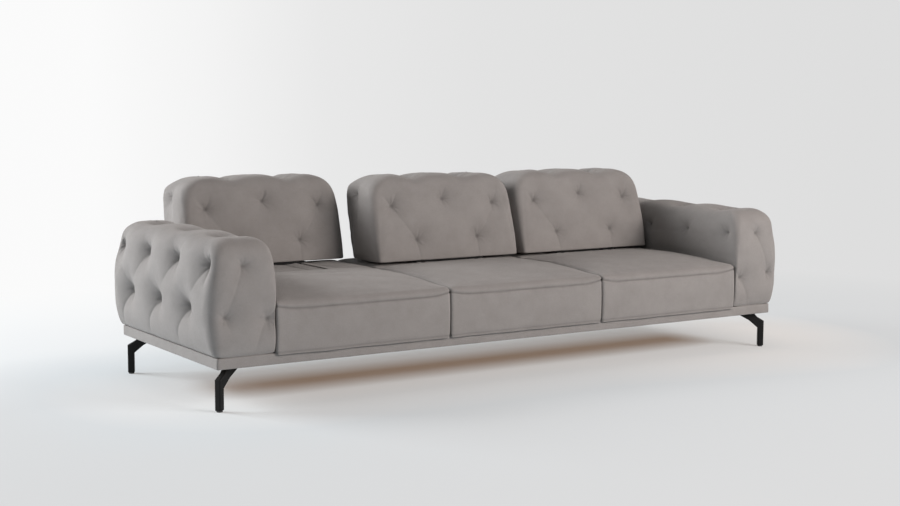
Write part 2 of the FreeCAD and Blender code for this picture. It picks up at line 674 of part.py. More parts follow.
channels = []
links = {}
CHANNEL = [("-channel_half", "0"), ("channel_half", "0"), ("channel_half", "channel_tall"),
           ("channel_mouth", "channel_tall"), ("channel_mouth", "channel_tall - slide_wall"),
           ("channel_half - slide_wall", "channel_tall - slide_wall"),
           ("channel_half - slide_wall", "slide_wall"),
           ("slide_wall - channel_half", "slide_wall"),
           ("slide_wall - channel_half", "channel_tall - slide_wall"),
           ("-channel_mouth", "channel_tall - slide_wall"), ("-channel_mouth", "channel_tall"),
           ("-channel_half", "channel_tall")]
LINK = [("-link_half", "link_low"), ("link_half", "link_low"), ("link_half", "link_high"),
        ("link_mouth", "link_high"), ("link_mouth", "link_high - slide_wall"),
        ("link_half - slide_wall", "link_high - slide_wall"),
        ("link_half - slide_wall", "link_low + slide_wall"),
        ("slide_wall - link_half", "link_low + slide_wall"),
        ("slide_wall - link_half", "link_high - slide_wall"), ("-link_mouth", "link_high - slide_wall"),
        ("-link_mouth", "link_high"), ("-link_half", "link_high")]
BAR = [("-bar_half", "bar_low"), ("bar_half", "bar_low"), ("bar_half", "bar_high"),
       ("neck_half", "bar_high"), ("neck_half", "neck_top"), ("-neck_half", "neck_top"),
       ("-neck_half", "bar_high"), ("-bar_half", "bar_high")]
SLID_BACK = {"left": "back_travel", "middle": "0", "right": "0"}


def rail(name, profile, length, x, y):
    body = doc.addObject("PartDesign::Body", name)
    pad(body, name + "_length", sketch(body, name + "_section", "XZ_Plane", profile), length, back=True)
    bind(body, "Placement.Base.x", x)
    bind(body, "Placement.Base.y", y)
    bind(body, "Placement.Base.z", "slide_base")
    return body


bars = {}
for number, name in enumerate(names):
    links[name], bars[name] = [], []
    for letter, offset in (("a", "- slide_offset"), ("b", "+ slide_offset")):
        x = "%s * seat_pitch %s" % (number - 1, offset)
        channels.append(rail("channel_%s_%s" % (name, letter), CHANNEL, "deck_rear_y - slide_front_y", x,
                             "slide_front_y"))
        links[name].append(rail("link_%s_%s" % (name, letter), LINK, "link_length", x,
                                "slide_front_y + (%s) / 2" % SLID_BACK[name]))
        bars[name].append(rail("bar_%s_%s" % (name, letter), BAR, "bar_length", x,
                               "slide_front_y + " + SLID_BACK[name]))
channel_blanks = doc.addObject("Part::Compound", "channel_blanks")
channel_blanks.Links = channels
cut("slide_channels", channel_blanks, slide_screws)
for name in names:
    group("slide_links_" + name, links[name])

# Back blocks

bottom, top = size("back_bottom"), size("back_top")
width, depth = size("back_width"), size("back_depth")
lean_front, lean_rear = size("back_lean_front"), size("back_lean_rear")
round_top, edge = size("back_top_corner"), size("back_edge")


def top_draw(z, radius):
    up = max(0.0, z - (top - radius))
    return radius - math.sqrt(max(0.0, radius * radius - up * up))


for number, name in enumerate(names):
    centre = seat_centres[number]
    slid = size("back_travel") if SLID_BACK[name] != "0" else 0.0
    front = size("back_front_y") + slid
    rise = top - bottom
    levels = [(bottom, 12.0), (bottom + 10, 3.0)]
    levels += [(bottom + share * rise, 0.0) for share in (0.08, 0.3, 0.55)]
    levels += [(top - share * round_top, 0.0) for share in (1.0, 0.62, 0.34, 0.14, 0.035, 0.0)]
    outlines = []
    for z, draw in levels:
        part = (z - bottom) / rise
        puff = 7.0 * math.sin(math.pi * min(1.0, part * 1.05))
        narrow = draw + 8.0 * part + min(top_draw(z, round_top), round_top * 0.86)
        thin = draw + min(top_draw(z, edge), edge * 0.86) - puff
        outlines.append((centre - width / 2 + narrow, centre + width / 2 - narrow,
                         front + lean_front * part + thin, front + depth + lean_rear * part - thin,
                         z, edge * 0.9))
    blank = stacked(outlines)
    slope = math.atan2(lean_front, rise)
    into = V(0, math.cos(slope), -math.sin(slope))
    spots = []
    for across, up in ((0, 0.715), (-0.361, 0.649), (0.361, 0.649), (-0.214, 0.255), (0.214, 0.255)):
        z = bottom + up * rise
        aim = V(centre + width * across, front + lean_front * up, z) - into * 150
        spots.append((aim, into, size("tuft_depth") * 0.85))
    middle_y = front + depth / 2 + (lean_front + lean_rear) / 2 * 0.9
    for across in (-0.177, 0.177):
        spots.append((V(centre + width * across, middle_y, top + 100), V(0, 0, -1),
                      size("tuft_depth") * 0.6))
    for side in (-1, 1):
        spots.append((V(centre + side * width * 0.7, middle_y - 8, bottom + 0.78 * rise), V(-side, 0, 0),
                      size("tuft_depth") * 0.7))
    middle = "(%s * seat_pitch)" % (number - 1)
    ahead = "back_front_y + " + SLID_BACK[name]
    base_blank = box("base_board_" + name, middle + " - back_width * 0.42",
                     middle + " + back_width * 0.42", ahead + " + 22", ahead + " + back_depth - 16",
                     "base_board_low", "base_board_high")
    panel = doc.addObject("PartDesign::Body", "panel_" + name)
    lean = "(back_lean_front + back_lean_rear) / 2"
    panel_points = [("0", "0"), ("board_thick", "0"),
                    ("board_thick + %s * 0.8" % lean, "(back_top - base_board_high) * 0.8"),
                    ("%s * 0.8" % lean, "(back_top - base_board_high) * 0.8")]
    pad(panel, "panel_sheet_" + name, sketch(panel, "panel_section_" + name, "YZ_Plane", panel_points),
        "back_width * 0.84", middle=True)
    bind(panel, "Placement.Base.x", middle)
    bind(panel, "Placement.Base.y", ahead + " + back_depth * 0.45")
    bind(panel, "Placement.Base.z", "base_board_high")
    group("back_panel_" + name, [panel])

    bolt_forms = []
    for offset_x in (-0.4, 0.4):
        for offset_y in (0.3, 0.85):
            bolt_size = size("back_bolt_size")
            bolt_y = size("slide_front_y") + slid + offset_y * size("bar_length")
            spot = V(centre + offset_x * size("slide_offset"), bolt_y, size("carriage_bottom"))
            bolt_shank = Part.makeCylinder(bolt_size / 2, size("back_bolt_length") - 4, spot)
            bolt_head = Part.makeCylinder(bolt_size * 0.9, 4, spot - V(0, 0, 4))
            bolt_forms.append(bolt_shank.fuse(bolt_head).removeSplitter())
    back_bolts = formed("back_bolt_forms_" + name, Part.makeCompound(bolt_forms))
    group("back_bolts_" + name, [back_bolts])
    cut("back_base_" + name, base_blank, back_bolts)

    hard = doc.addObject("Part::Compound", "back_inside_" + name)
    hard.Links = [base_blank, panel, back_bolts]
    cut("back_pad_" + name, formed("back_form_" + name, tufted(blank, spots)), hard)

    plate = box("carriage_plate_" + name, middle + " - support_width / 2",
                middle + " + support_width / 2", "slide_front_y + " + SLID_BACK[name],
                "slide_front_y + bar_length + " + SLID_BACK[name], "carriage_bottom",
                "carriage_bottom + carriage_thick")
    welded = doc.addObject("Part::MultiFuse", "carriage_weld_" + name)
    welded.Shapes = [plate] + bars[name]
    cut("carriage_" + name, welded, back_bolts)

doc.recompute()

bad = [thing.Label for thing in doc.Objects if "Invalid" in thing.State or "Error" in thing.State]
if bad:
    raise RuntimeError("not built: " + ", ".join(bad))
os.makedirs("parts", exist_ok=True)
for thing in nodes:
    if thing.Shape.isNull() or not thing.Shape.isValid() or not thing.Shape.Solids:
        raise RuntimeError("no valid solid in " + thing.Label)
    thing.Shape.exportStep("parts/%s.step" % thing.Label)
    span = thing.Shape.BoundBox
    corners = (span.XMin, span.XMax, span.YMin, span.YMax, span.ZMin, span.ZMax)
    print(thing.Label, len(thing.Shape.Solids), " ".join("%.1f" % value for value in corners))
print(len(nodes), "nodes")
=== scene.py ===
import json
import math

import bpy
import numpy as np
from bpy.props import FloatProperty, FloatVectorProperty, IntProperty, PointerProperty
from mathutils import Matrix, Vector
from mathutils.bvhtree import BVHTree
from mathutils.kdtree import KDTree

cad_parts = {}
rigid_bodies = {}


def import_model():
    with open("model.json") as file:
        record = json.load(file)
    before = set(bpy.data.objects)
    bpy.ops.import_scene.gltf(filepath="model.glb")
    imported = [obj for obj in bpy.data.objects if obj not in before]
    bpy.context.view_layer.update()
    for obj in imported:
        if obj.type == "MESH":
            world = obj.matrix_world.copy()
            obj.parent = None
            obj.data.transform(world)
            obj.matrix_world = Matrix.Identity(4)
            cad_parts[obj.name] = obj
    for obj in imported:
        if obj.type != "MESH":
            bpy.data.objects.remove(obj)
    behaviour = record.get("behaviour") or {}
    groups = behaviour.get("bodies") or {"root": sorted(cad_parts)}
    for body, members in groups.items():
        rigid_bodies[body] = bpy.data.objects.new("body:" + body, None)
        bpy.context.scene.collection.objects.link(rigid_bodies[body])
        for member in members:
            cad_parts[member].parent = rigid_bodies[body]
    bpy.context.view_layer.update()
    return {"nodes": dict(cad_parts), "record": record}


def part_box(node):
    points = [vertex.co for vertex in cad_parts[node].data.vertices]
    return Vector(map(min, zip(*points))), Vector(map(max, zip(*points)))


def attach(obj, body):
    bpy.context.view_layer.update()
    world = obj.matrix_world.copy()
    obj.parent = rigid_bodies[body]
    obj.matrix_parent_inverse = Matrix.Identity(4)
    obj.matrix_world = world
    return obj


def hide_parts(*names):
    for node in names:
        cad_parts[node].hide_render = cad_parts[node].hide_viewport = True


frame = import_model()

bl_info = {
    "name": "Tufted sofa with sliding backs",
    "version": (1, 0, 0),
    "blender": (4, 5, 0),
    "location": "View3D > Sidebar > Sofa",
    "description": "Upholstery, finishes and stage for the sofa",
    "category": "Object",
}

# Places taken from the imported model, in metres
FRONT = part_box("plinth_cover_front")[0].y
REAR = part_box("plinth_cover_rear")[1].y
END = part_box("plinth_cover_right")[1].x
PLINTH_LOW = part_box("plinth_cover_front")[0].z
PLINTH_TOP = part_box("plinth_cover_front")[1].z

# Sizes of the padded forms, in metres, with fronts and rears measured from the plinth's front
SIDES = ("left", "middle", "right")
ARM_TOP = 0.643
SEAT_X = (-0.764, 0.0, 0.764)
SEAT_HALF = 0.381
SEAT_FRONT = -0.012
SEAT_REAR = 0.576
SEAM_Z = 0.364
BACK_LOW = 0.432
BACK_TOP = 0.807
BACK_HALF = 0.367
BACK_FRONT = 0.574
BACK_DEPTH = 0.248
BACK_LEAN_FRONT = 0.095
BACK_LEAN_REAR = 0.106
BACK_SLID = {"left": 0.245, "middle": 0.0, "right": 0.0}
DECK_TOP = 0.4235

# Cells of the skins, and the room that a tufted skin leaves for its filling
ARM_CELL = 0.008
BACK_CELL = 0.0072
SEAT_CELL = 0.0085
PAD_CELL = 0.010
FLAP_CELL = 0.006
COVER_CELL = 0.009
FILL_ROOM = 0.004
TUFT_PRESSURE = 4.0
MM = 0.001


# Settings


def length(name, description, default):
    return FloatProperty(name=name, description=description, default=default, unit="LENGTH")


def tone(name, description, default):
    return FloatVectorProperty(name=name, description=description, default=default,
                               subtype="COLOR", min=0.0, max=1.0)


class SofaSizes(bpy.types.PropertyGroup):
    """Sizes of the upholstery"""

    tuft_depth: length("Arm tuft depth", "How deep the arms' tufts are drawn in", 0.046)
    tuft_width: length("Arm tuft width", "Reach of an arm tuft's hollow", 0.028)
    back_tuft_depth: length("Back tuft depth", "How deep the back blocks' tufts are drawn in", 0.018)
    pleat_depth: length("Pleat depth", "Depth of the folds between tufts", 0.006)
    swell: length("Swell", "The most that a tufted skin moves as it fills", 0.014)
    seam_depth: length("Seam depth", "Depth of a sewn seam's groove", 0.004)
    stitch_length: length("Stitch length", "Length of one stitch", 0.0055)
    stitch_gap: length("Stitch gap", "Gap between two stitches", 0.0025)
    weave_pitch: length("Weave pitch", "Width of one thread of the cloth", 0.0014)
    fill_frames: IntProperty(name="Filling steps", description="Steps of the filling simulation",
                             default=20, min=5, max=40)


class SofaColours(bpy.types.PropertyGroup):
    """Colours of the sofa's finishes"""

    cloth: tone("Cloth", "Main tone of the woven cloth", (0.302, 0.285, 0.276))
    cloth_dark: tone("Cloth, dark thread", "Darker thread of the woven cloth", (0.223, 0.208, 0.201))
    thread: tone("Sewing thread", "Thread of the seams", (0.235, 0.222, 0.214))
    metal: tone("Black metal", "Painted legs and carriages", (0.004, 0.004, 0.0043))
    steel: tone("Zinc steel", "Screws, bolts and slides", (0.60, 0.61, 0.62))
    timber: tone("Timber", "Frame timber", (0.55, 0.37, 0.20))
    lining: tone("Lining", "Black cloth under the base", (0.018, 0.018, 0.019))
    felt: tone("Felt", "Pads over the springs", (0.36, 0.34, 0.31))
    floor: tone("Floor", "Studio floor", (0.70, 0.78, 0.83))


def sizes():
    return bpy.context.scene.sofa_sizes


def colours():
    return bpy.context.scene.sofa_colours


# Nodes


def set_inputs(tree, node, inputs):
    """Sets inputs by name or number, each to a value or to the output of another node."""
    for key, value in inputs.items():
        if isinstance(value, bpy.types.NodeSocket):
            tree.links.new(value, node.inputs[key])
        else:
            node.inputs[key].default_value = value


def add_node(tree, kind, inputs=None, **settings):
    node = tree.nodes.new(kind)
    for key, value in settings.items():
        setattr(node, key, value)
    set_inputs(tree, node, inputs or {})
    return node


def add_noise(tree, source, scale, detail=2.0, roughness=0.5):
    return add_node(tree, "ShaderNodeTexNoise", {
        "Scale": scale, "Detail": detail, "Roughness": roughness, "Vector": source}).outputs["Fac"]


def add_cells(tree, source, scale):
    return add_node(tree, "ShaderNodeTexVoronoi", {"Scale": scale, "Vector": source}).outputs["Distance"]


def add_bands(tree, source, direction, scale, distortion, detail):
    return add_node(tree, "ShaderNodeTexWave", {
        "Scale": scale, "Distortion": distortion, "Detail": detail, "Vector": source},
        bands_direction=direction).outputs["Fac"]


def add_math(tree, operation, first, second):
    return add_node(tree, "ShaderNodeMath", {0: first, 1: second}, operation=operation).outputs[0]


def add_vector(tree, operation, *values):
    node = add_node(tree, "ShaderNodeVectorMath", dict(enumerate(values)), operation=operation)
    return node.outputs["Value" if operation == "LENGTH" else "Vector"]


def add_range(tree, value, low, high, from_low=0.0, from_high=1.0):
    return add_node(tree, "ShaderNodeMapRange", {
        "Value": value, "From Min": from_low, "From Max": from_high,
        "To Min": low, "To Max": high}).outputs["Result"]


def add_mix(tree, factor, first, second):
    """A mix of two colours, each three values or another node's output."""
    first, second = (value if isinstance(value, bpy.types.NodeSocket) else (*value, 1.0)
                     for value in (first, second))
    return add_node(tree, "ShaderNodeMix", {0: factor, 6: first, 7: second}, data_type="RGBA").outputs[2]


def add_bump(tree, height, distance, strength):
    return add_node(tree, "ShaderNodeBump", {
        "Height": height, "Distance": distance, "Strength": strength}).outputs["Normal"]


def seen_by(tree, *kinds):
    """One along rays of the given kinds, and zero along all others."""
    path = add_node(tree, "ShaderNodeLightPath").outputs
    seen = path[kinds[0]]
    for kind in kinds[1:]:
        seen = add_math(tree, "MAXIMUM", seen, path[kind])
    return seen


def mix_surfaces(tree, output, factor, first, second):
    mixed = add_node(tree, "ShaderNodeMixShader", {0: factor, 1: first, 2: second})
    tree.links.new(mixed.outputs["Shader"], tree.nodes[output].inputs["Surface"])


def new_material(name):
    """A material with its node tree, its shader and the place on the piece."""
    material = bpy.data.materials.new(name)
    material.use_nodes = True
    tree = material.node_tree
    place = add_node(tree, "ShaderNodeTexCoord").outputs["Object"]
    return material, tree, tree.nodes["Principled BSDF"], place


def scaled(colour, factor, added=0.0):
    return [factor * value + added for value in colour]


# Finishes, each as the inputs of its shader


# Scale of a wave texture whose bands lie one metre apart
WAVE_SCALE = 0.314


def woven_cloth(tree, place):
    """Fine plain weave with a heathered tone, a short nap, and painted shade that darkens its folds, pits
    and seams.
    """
    flat = add_node(tree, "ShaderNodeUVMap", uv_map="weave").outputs["UV"]
    warp, weft = (add_bands(tree, flat, way, WAVE_SCALE / sizes().weave_pitch, 0.7, 1.0)
                  for way in ("X", "Y"))
    weave = add_math(tree, "MULTIPLY", add_math(tree, "ADD", warp, weft), 0.5)
    heather = add_noise(tree, place, 380.0, 3.0, 0.65)
    cloud = add_noise(tree, place, 16.0, 4.0, 0.6)
    patch = add_noise(tree, place, 4.5)
    blend = add_range(tree, heather, 0.0, 0.55, 0.3, 0.7)
    for part in (add_range(tree, cloud, -0.12, 0.22, 0.3, 0.7),
                 add_range(tree, patch, -0.10, 0.10, 0.3, 0.7),
                 add_range(tree, weave, 0.12, -0.12)):
        blend = add_math(tree, "ADD", blend, part)
    colour = add_mix(tree, blend, colours().cloth, colours().cloth_dark)
    # Painted shade: where the fold attribute marks pits, creases and seams, the colour darkens towards a
    # deep cloth_dark.
    fold = add_node(tree, "ShaderNodeAttribute", attribute_name="fold").outputs["Fac"]
    deep = add_range(tree, fold, 0.0, 0.825, 0.0, 1.5)
    height = add_math(tree, "ADD", add_math(tree, "MULTIPLY", weave, 0.6), heather)
    height = add_math(tree, "ADD", height, add_math(tree, "MULTIPLY", cloud, 1.6))
    return {"Base Color": add_mix(tree, deep, colour, scaled(colours().cloth_dark, 0.30)),
            "Roughness": add_range(tree, heather, 0.80, 0.95),
            "Sheen Weight": 0.12, "Sheen Roughness": 0.45, "Sheen Tint": (0.95, 0.92, 0.9, 1.0),
            "Specular IOR Level": 0.25, "Normal": add_bump(tree, height, 0.0009, 0.55)}


def sewing_thread(tree, place):
    fibre = add_noise(tree, place, 1500.0)
    return {"Base Color": add_mix(tree, fibre, colours().thread, scaled(colours().thread, 0.7)),
            "Roughness": 0.6, "Sheen Weight": 0.3, "Normal": add_bump(tree, fibre, 0.0002, 0.5)}


def black_metal(tree, place):
    """Satin black paint over steel, a little worn and dusty."""
    grain = add_noise(tree, place, 900.0)
    dust = add_noise(tree, place, 22.0, 4.0, 0.6)
    worn = add_range(tree, dust, 0.0, 0.6, 0.4, 0.8)
    return {"Base Color": add_mix(tree, worn, colours().metal, scaled(colours().metal, 1.8, 0.003)),
            "Roughness": add_range(tree, dust, 0.48, 0.64), "Specular IOR Level": 0.16,
            "Coat Weight": 0.03, "Coat Roughness": 0.3, "Normal": add_bump(tree, grain, 0.0002, 0.35)}


def zinc_steel(tree, place):
    spangle = add_math(tree, "MULTIPLY", add_cells(tree, place, 260.0), 1.2)
    cloud = add_noise(tree, place, 60.0, 3.0)
    return {"Base Color": add_mix(tree, spangle, colours().steel, scaled(colours().steel, 0.72)),
            "Roughness": add_range(tree, cloud, 0.26, 0.46), "Metallic": 1.0,
            "Normal": add_bump(tree, cloud, 0.0001, 0.3)}


def frame_timber(tree, place):
    """Planed softwood, its grain along the sofa's length."""
    stretch = add_node(tree, "ShaderNodeMapping", {"Scale": (1.2, 14.0, 14.0), "Vector": place})
    along = stretch.outputs["Vector"]
    grain = add_bands(tree, along, "Y", 1.6, 5.0, 3.0)
    pore = add_noise(tree, along, 30.0, 3.0)
    streak = add_math(tree, "MULTIPLY", add_math(tree, "ADD", grain, pore), 0.5)
    return {"Base Color": add_mix(tree, streak, colours().timber, scaled(colours().timber, 0.62)),
            "Roughness": add_range(tree, pore, 0.55, 0.75), "Normal": add_bump(tree, streak, 0.0004, 0.3)}


def lining_cloth(tree, place):
    """Black spun-bonded cloth with its pressed dots."""
    dots = add_cells(tree, place, 450.0)
    fibre = add_noise(tree, place, 160.0, 4.0, 0.7)
    return {"Base Color": add_mix(tree, fibre, colours().lining, scaled(colours().lining, 2.2, 0.01)),
            "Roughness": add_range(tree, fibre, 0.75, 0.95), "Normal": add_bump(tree, dots, 0.0003, 0.5)}


def pressed_felt(tree, place):
    fibre = add_noise(tree, place, 420.0, 4.0, 0.7)
    return {"Base Color": add_mix(tree, fibre, colours().felt, scaled(colours().felt, 0.6)),
            "Roughness": 0.95, "Normal": add_bump(tree, fibre, 0.0008, 0.6)}


def glide_plastic(tree, place):
    grain = add_noise(tree, place, 700.0)
    return {"Base Color": add_mix(tree, grain, (0.02, 0.02, 0.021), (0.035, 0.035, 0.036)),
            "Roughness": add_range(tree, grain, 0.42, 0.58), "Normal": add_bump(tree, grain, 0.0002, 0.4)}


def slide_paint(tree, place):
    """Matt paint in the cloth's tone, so that the slides' slots stay quiet."""
    grain = add_noise(tree, place, 1200.0)
    dust = add_noise(tree, place, 40.0, 3.0)
    return {"Base Color": add_mix(tree, dust, colours().cloth, scaled(colours().cloth, 1.25)),
            "Roughness": add_range(tree, grain, 0.55, 0.75), "Normal": add_bump(tree, grain, 0.0001, 0.3)}


FINISHES = {
    "upholstery": woven_cloth,
    "dust_cloth": lining_cloth,
    "felt": pressed_felt,
    "zinc_steel": zinc_steel,
    "glide_plastic": glide_plastic,
    "black_metal": black_metal,
    "slide_paint": slide_paint,
    "timber": frame_timber,
    "thread": sewing_thread,
}


def finish(name):
    """The material of one finish, made when it is first asked for."""
    material = bpy.data.materials.get("finish_" + name)
    if material is None:
        material, tree, shader, place = new_material("finish_" + name)
        set_inputs(tree, shader, FINISHES[name](tree, place))
    return material


# Forms made of stacked rounded outlines


def smooth_rows(table, spacing):
    """Rows of a table of sections at an even spacing, along a curve that doesn't overshoot."""
    table = np.array(table, float)
    change = np.abs(np.diff(table[:, :5], axis=0))
    step = np.hypot(change[:, :4].max(1), change[:, 4])
    place = np.concatenate([[0.0], np.cumsum(step)])
    slope = np.diff(table, axis=0) / step[:, None]
    tangent = np.zeros_like(table)
    tangent[0], tangent[-1] = slope[0], slope[-1]
    before, after = slope[:-1], slope[1:]
    near, far = step[:-1, None], step[1:, None]
    weight_before, weight_after = 2 * far + near, far + 2 * near
    agree = before * after > 0
    safe_before = np.where(agree, before, 1.0)
    safe_after = np.where(agree, after, 1.0)
    mean = (weight_before + weight_after) / (weight_before / safe_before + weight_after / safe_after)
    tangent[1:-1] = np.where(agree, mean, 0.0)
    count = max(2, int(round(place[-1] / spacing)))
    want = np.linspace(0.0, place[-1], count + 1)
    index = np.clip(np.searchsorted(place, want, "right") - 1, 0, len(step) - 1)
    width = step[index][:, None]
    t = (want - place[index])[:, None] / width
    low, high = table[index], table[index + 1]
    return ((2 * t**3 - 3 * t**2 + 1) * low + (t**3 - 2 * t**2 + t) * width * tangent[index]
            + (3 * t**2 - 2 * t**3) * high + (t**3 - t**2) * width * tangent[index + 1])


def outline(x0, x1, y0, y1, left, right, across, along, corner):
    """A rectangle's points with rounded corners, counter-clockwise from the middle of its front edge."""
    least = 1e-4
    most = min((x1 - x0) / 2, (y1 - y0) / 2) - least
    left, right = (max(least, min(r, most)) for r in (left, right))
    middle = (x0 + x1) / 2

    def run(ax, ay, bx, by, count):
        t = np.arange(count) / count
        return np.stack([ax + (bx - ax) * t, ay + (by - ay) * t], 1)

    def turn(cx, cy, radius, begin):
        a = math.radians(begin) + np.arange(corner) / corner * math.pi / 2
        return np.stack([cx + radius * np.cos(a), cy + radius * np.sin(a)], 1)

    return np.concatenate([
        run(middle, y0, x1 - right, y0, across // 2),
        turn(x1 - right, y0 + right, right, -90),
        run(x1, y0 + right, x1, y1 - right, along),
        turn(x1 - right, y1 - right, right, 0),
        run(x1 - right, y1, x0 + left, y1, across),
        turn(x0 + left, y1 - left, left, 90),
        run(x0, y1 - left, x0, y0 + left, along),
        turn(x0 + left, y0 + left, left, 180),
        run(x0 + left, y0, middle, y0, across // 2),
    ])


def ring(flat, z):
    """A flat outline's points at one height."""
    return np.column_stack([flat, np.full(len(flat), z)])


def ring_faces(count, first, second):
    """Faces from one ring of points to another, given each ring's first point."""
    return [(first + i, first + (i + 1) % count, second + (i + 1) % count, second + i)
            for i in range(count)]


def close_faces(first, count, start, upward):
    """Faces that close a ring of points across its narrow way."""
    faces = []
    for k in range(count // 2):
        loop = [(start + k) % count, (start + k + 1) % count,
                (start - k - 1) % count, (start - k) % count]
        loop = [first + i for n, i in enumerate(loop) if i not in loop[:n]]
        if len(loop) > 2:
            faces.append(loop if upward else loop[::-1])
    return faces


def stack_form(rows, spacing, narrow_across):
    """Points and faces of a closed form through the given rows of outlines."""
    wide = rows[np.argmax((rows[:, 1] - rows[:, 0]) + (rows[:, 3] - rows[:, 2]))]
    radius = max(wide[5], wide[6])
    across = 2 * max(1, int(round((wide[1] - wide[0] - 2 * radius) / spacing / 2)))
    along = 2 * max(1, int(round((wide[3] - wide[2] - 2 * radius) / spacing / 2)))
    corner = max(2, int(round(radius * math.pi / 2 / spacing)))
    rings = [ring(outline(x0, x1, y0, y1, left, right, across, along, corner), z)
             for x0, x1, y0, y1, z, left, right in rows]
    count = len(rings[0])
    last = (len(rings) - 1) * count
    faces = []
    for first in range(0, last, count):
        faces += ring_faces(count, first, first + count)
    start = 0 if narrow_across else across // 2 + corner + along // 2
    faces += close_faces(0, count, start, False)
    faces += close_faces(last, count, start, True)
    return np.concatenate(rings), faces


# Meshes


def new_mesh_object(name, points, faces, edges=()):
    mesh = bpy.data.meshes.new(name)
    mesh.from_pydata(np.asarray(points).tolist(), list(edges), [list(f) for f in faces])
    mesh.update()
    obj = bpy.data.objects.new(name, mesh)
    bpy.context.scene.collection.objects.link(obj)
    return obj


def get_points(mesh, what="co"):
    flat = np.empty(len(mesh.vertices) * 3, np.float32)
    mesh.vertices.foreach_get(what, flat)
    return flat.reshape(-1, 3).astype(float)


def get_normals(mesh):
    return get_points(mesh, "normal")


def set_points(mesh, points):
    mesh.vertices.foreach_set("co", np.asarray(points, np.float32).ravel())
    mesh.update()


def push_out(mesh, amounts):
    """Moves every point along its normal."""
    set_points(mesh, get_points(mesh) + get_normals(mesh) * amounts[:, None])


def skin_tree(obj):
    return BVHTree.FromPolygons([v.co.copy() for v in obj.data.vertices],
                                [list(p.vertices) for p in obj.data.polygons])


def bake_modifiers(obj):
    """Puts the result of the piece's modifiers into its own mesh."""
    graph = bpy.context.evaluated_depsgraph_get()
    mesh = bpy.data.meshes.new_from_object(obj.evaluated_get(graph))
    obj.modifiers.clear()
    old = obj.data
    mesh.name = old.name
    obj.data = mesh
    bpy.data.meshes.remove(old)


def subdivide(obj):
    finer = obj.modifiers.new("finer", "SUBSURF")
    finer.levels = finer.render_levels = 1
    bake_modifiers(obj)


def finer_points(points, faces):
    """Points of a form once its faces are divided."""
    form = new_mesh_object("rest_form", points, faces)
    subdivide(form)
    finer = get_points(form.data)
    bpy.data.objects.remove(form)
    return finer


# Behaviour of the skins as they fill, and the share of an inward move that is taken back
HOLD_STEPS = 20
SKIN_RULES = {
    "quality": 4, "mass": 0.3, "tension_stiffness": 12.0, "compression_stiffness": 12.0,
    "shear_stiffness": 4.0, "bending_stiffness": 0.4, "use_pressure": True, "vertex_group_mass": "held",
}
TAKEN_BACK = 0.85


def fill_cushion(obj, held, pressure, cap):
    """Swells a closed skin under pressure while its held points stay."""
    mesh = obj.data
    before, normals = get_points(mesh), get_normals(mesh)
    group = obj.vertex_groups.new(name="held")
    steps = np.round(np.clip(held, 0, 1) * HOLD_STEPS).astype(int)
    for step in range(1, HOLD_STEPS + 1):
        chosen = np.nonzero(steps == step)[0].tolist()
        if chosen:
            group.add(chosen, step / HOLD_STEPS, "REPLACE")
    cloth = obj.modifiers.new("filling", "CLOTH")
    for key, value in SKIN_RULES.items():
        setattr(cloth.settings, key, value)
    cloth.settings.uniform_pressure_force = pressure
    cloth.settings.effector_weights.gravity = 0.0
    cloth.collision_settings.use_collision = False
    cloth.collision_settings.use_self_collision = False
    frames = sizes().fill_frames
    cloth.point_cache.frame_start = 1
    cloth.point_cache.frame_end = frames
    scene = bpy.context.scene
    for number in range(1, frames + 1):
        scene.frame_set(number)
    graph = bpy.context.evaluated_depsgraph_get()
    swollen = obj.evaluated_get(graph).to_mesh()
    after = get_points(swollen)
    obj.evaluated_get(graph).to_mesh_clear()
    obj.modifiers.clear()
    obj.vertex_groups.clear()
    scene.frame_set(1)
    moved = after - before
    inward = np.minimum(0.0, (moved * normals).sum(1))
    moved -= TAKEN_BACK * inward[:, None] * normals
    far = np.linalg.norm(moved, axis=1)
    keep = cap * np.tanh(far / cap) / np.maximum(far, 1e-9)
    set_points(mesh, before + moved * keep[:, None])


def smooth_noise(points, scale, seed):
    """A soft wave field from a fixed set of directions, between about -1 and 1."""
    draw = np.random.default_rng(seed)
    total = np.zeros(len(points))
    for _ in range(12):
        way = draw.normal(size=3)
        way *= draw.uniform(0.6, 1.5) / np.linalg.norm(way) / scale * math.tau
        total += np.sin(points @ way + draw.uniform(0, math.tau))
    return total / 4.0


def keep_within(values, start, room):
    """Eases values beyond a start so that they go on by no more than the room."""
    over = np.maximum(values - start, 0.0)
    return np.minimum(values, start) + room * np.tanh(over / room)


def limit(values):
    return np.clip(values, 0, 1)


def ease(values):
    """A share from 0 to 1 that starts and ends softly."""
    part = limit(values)
    return part * part * (3 - 2 * part)


def bell(distance, width):
    return np.exp(-(distance / width) ** 2)


# Tufting


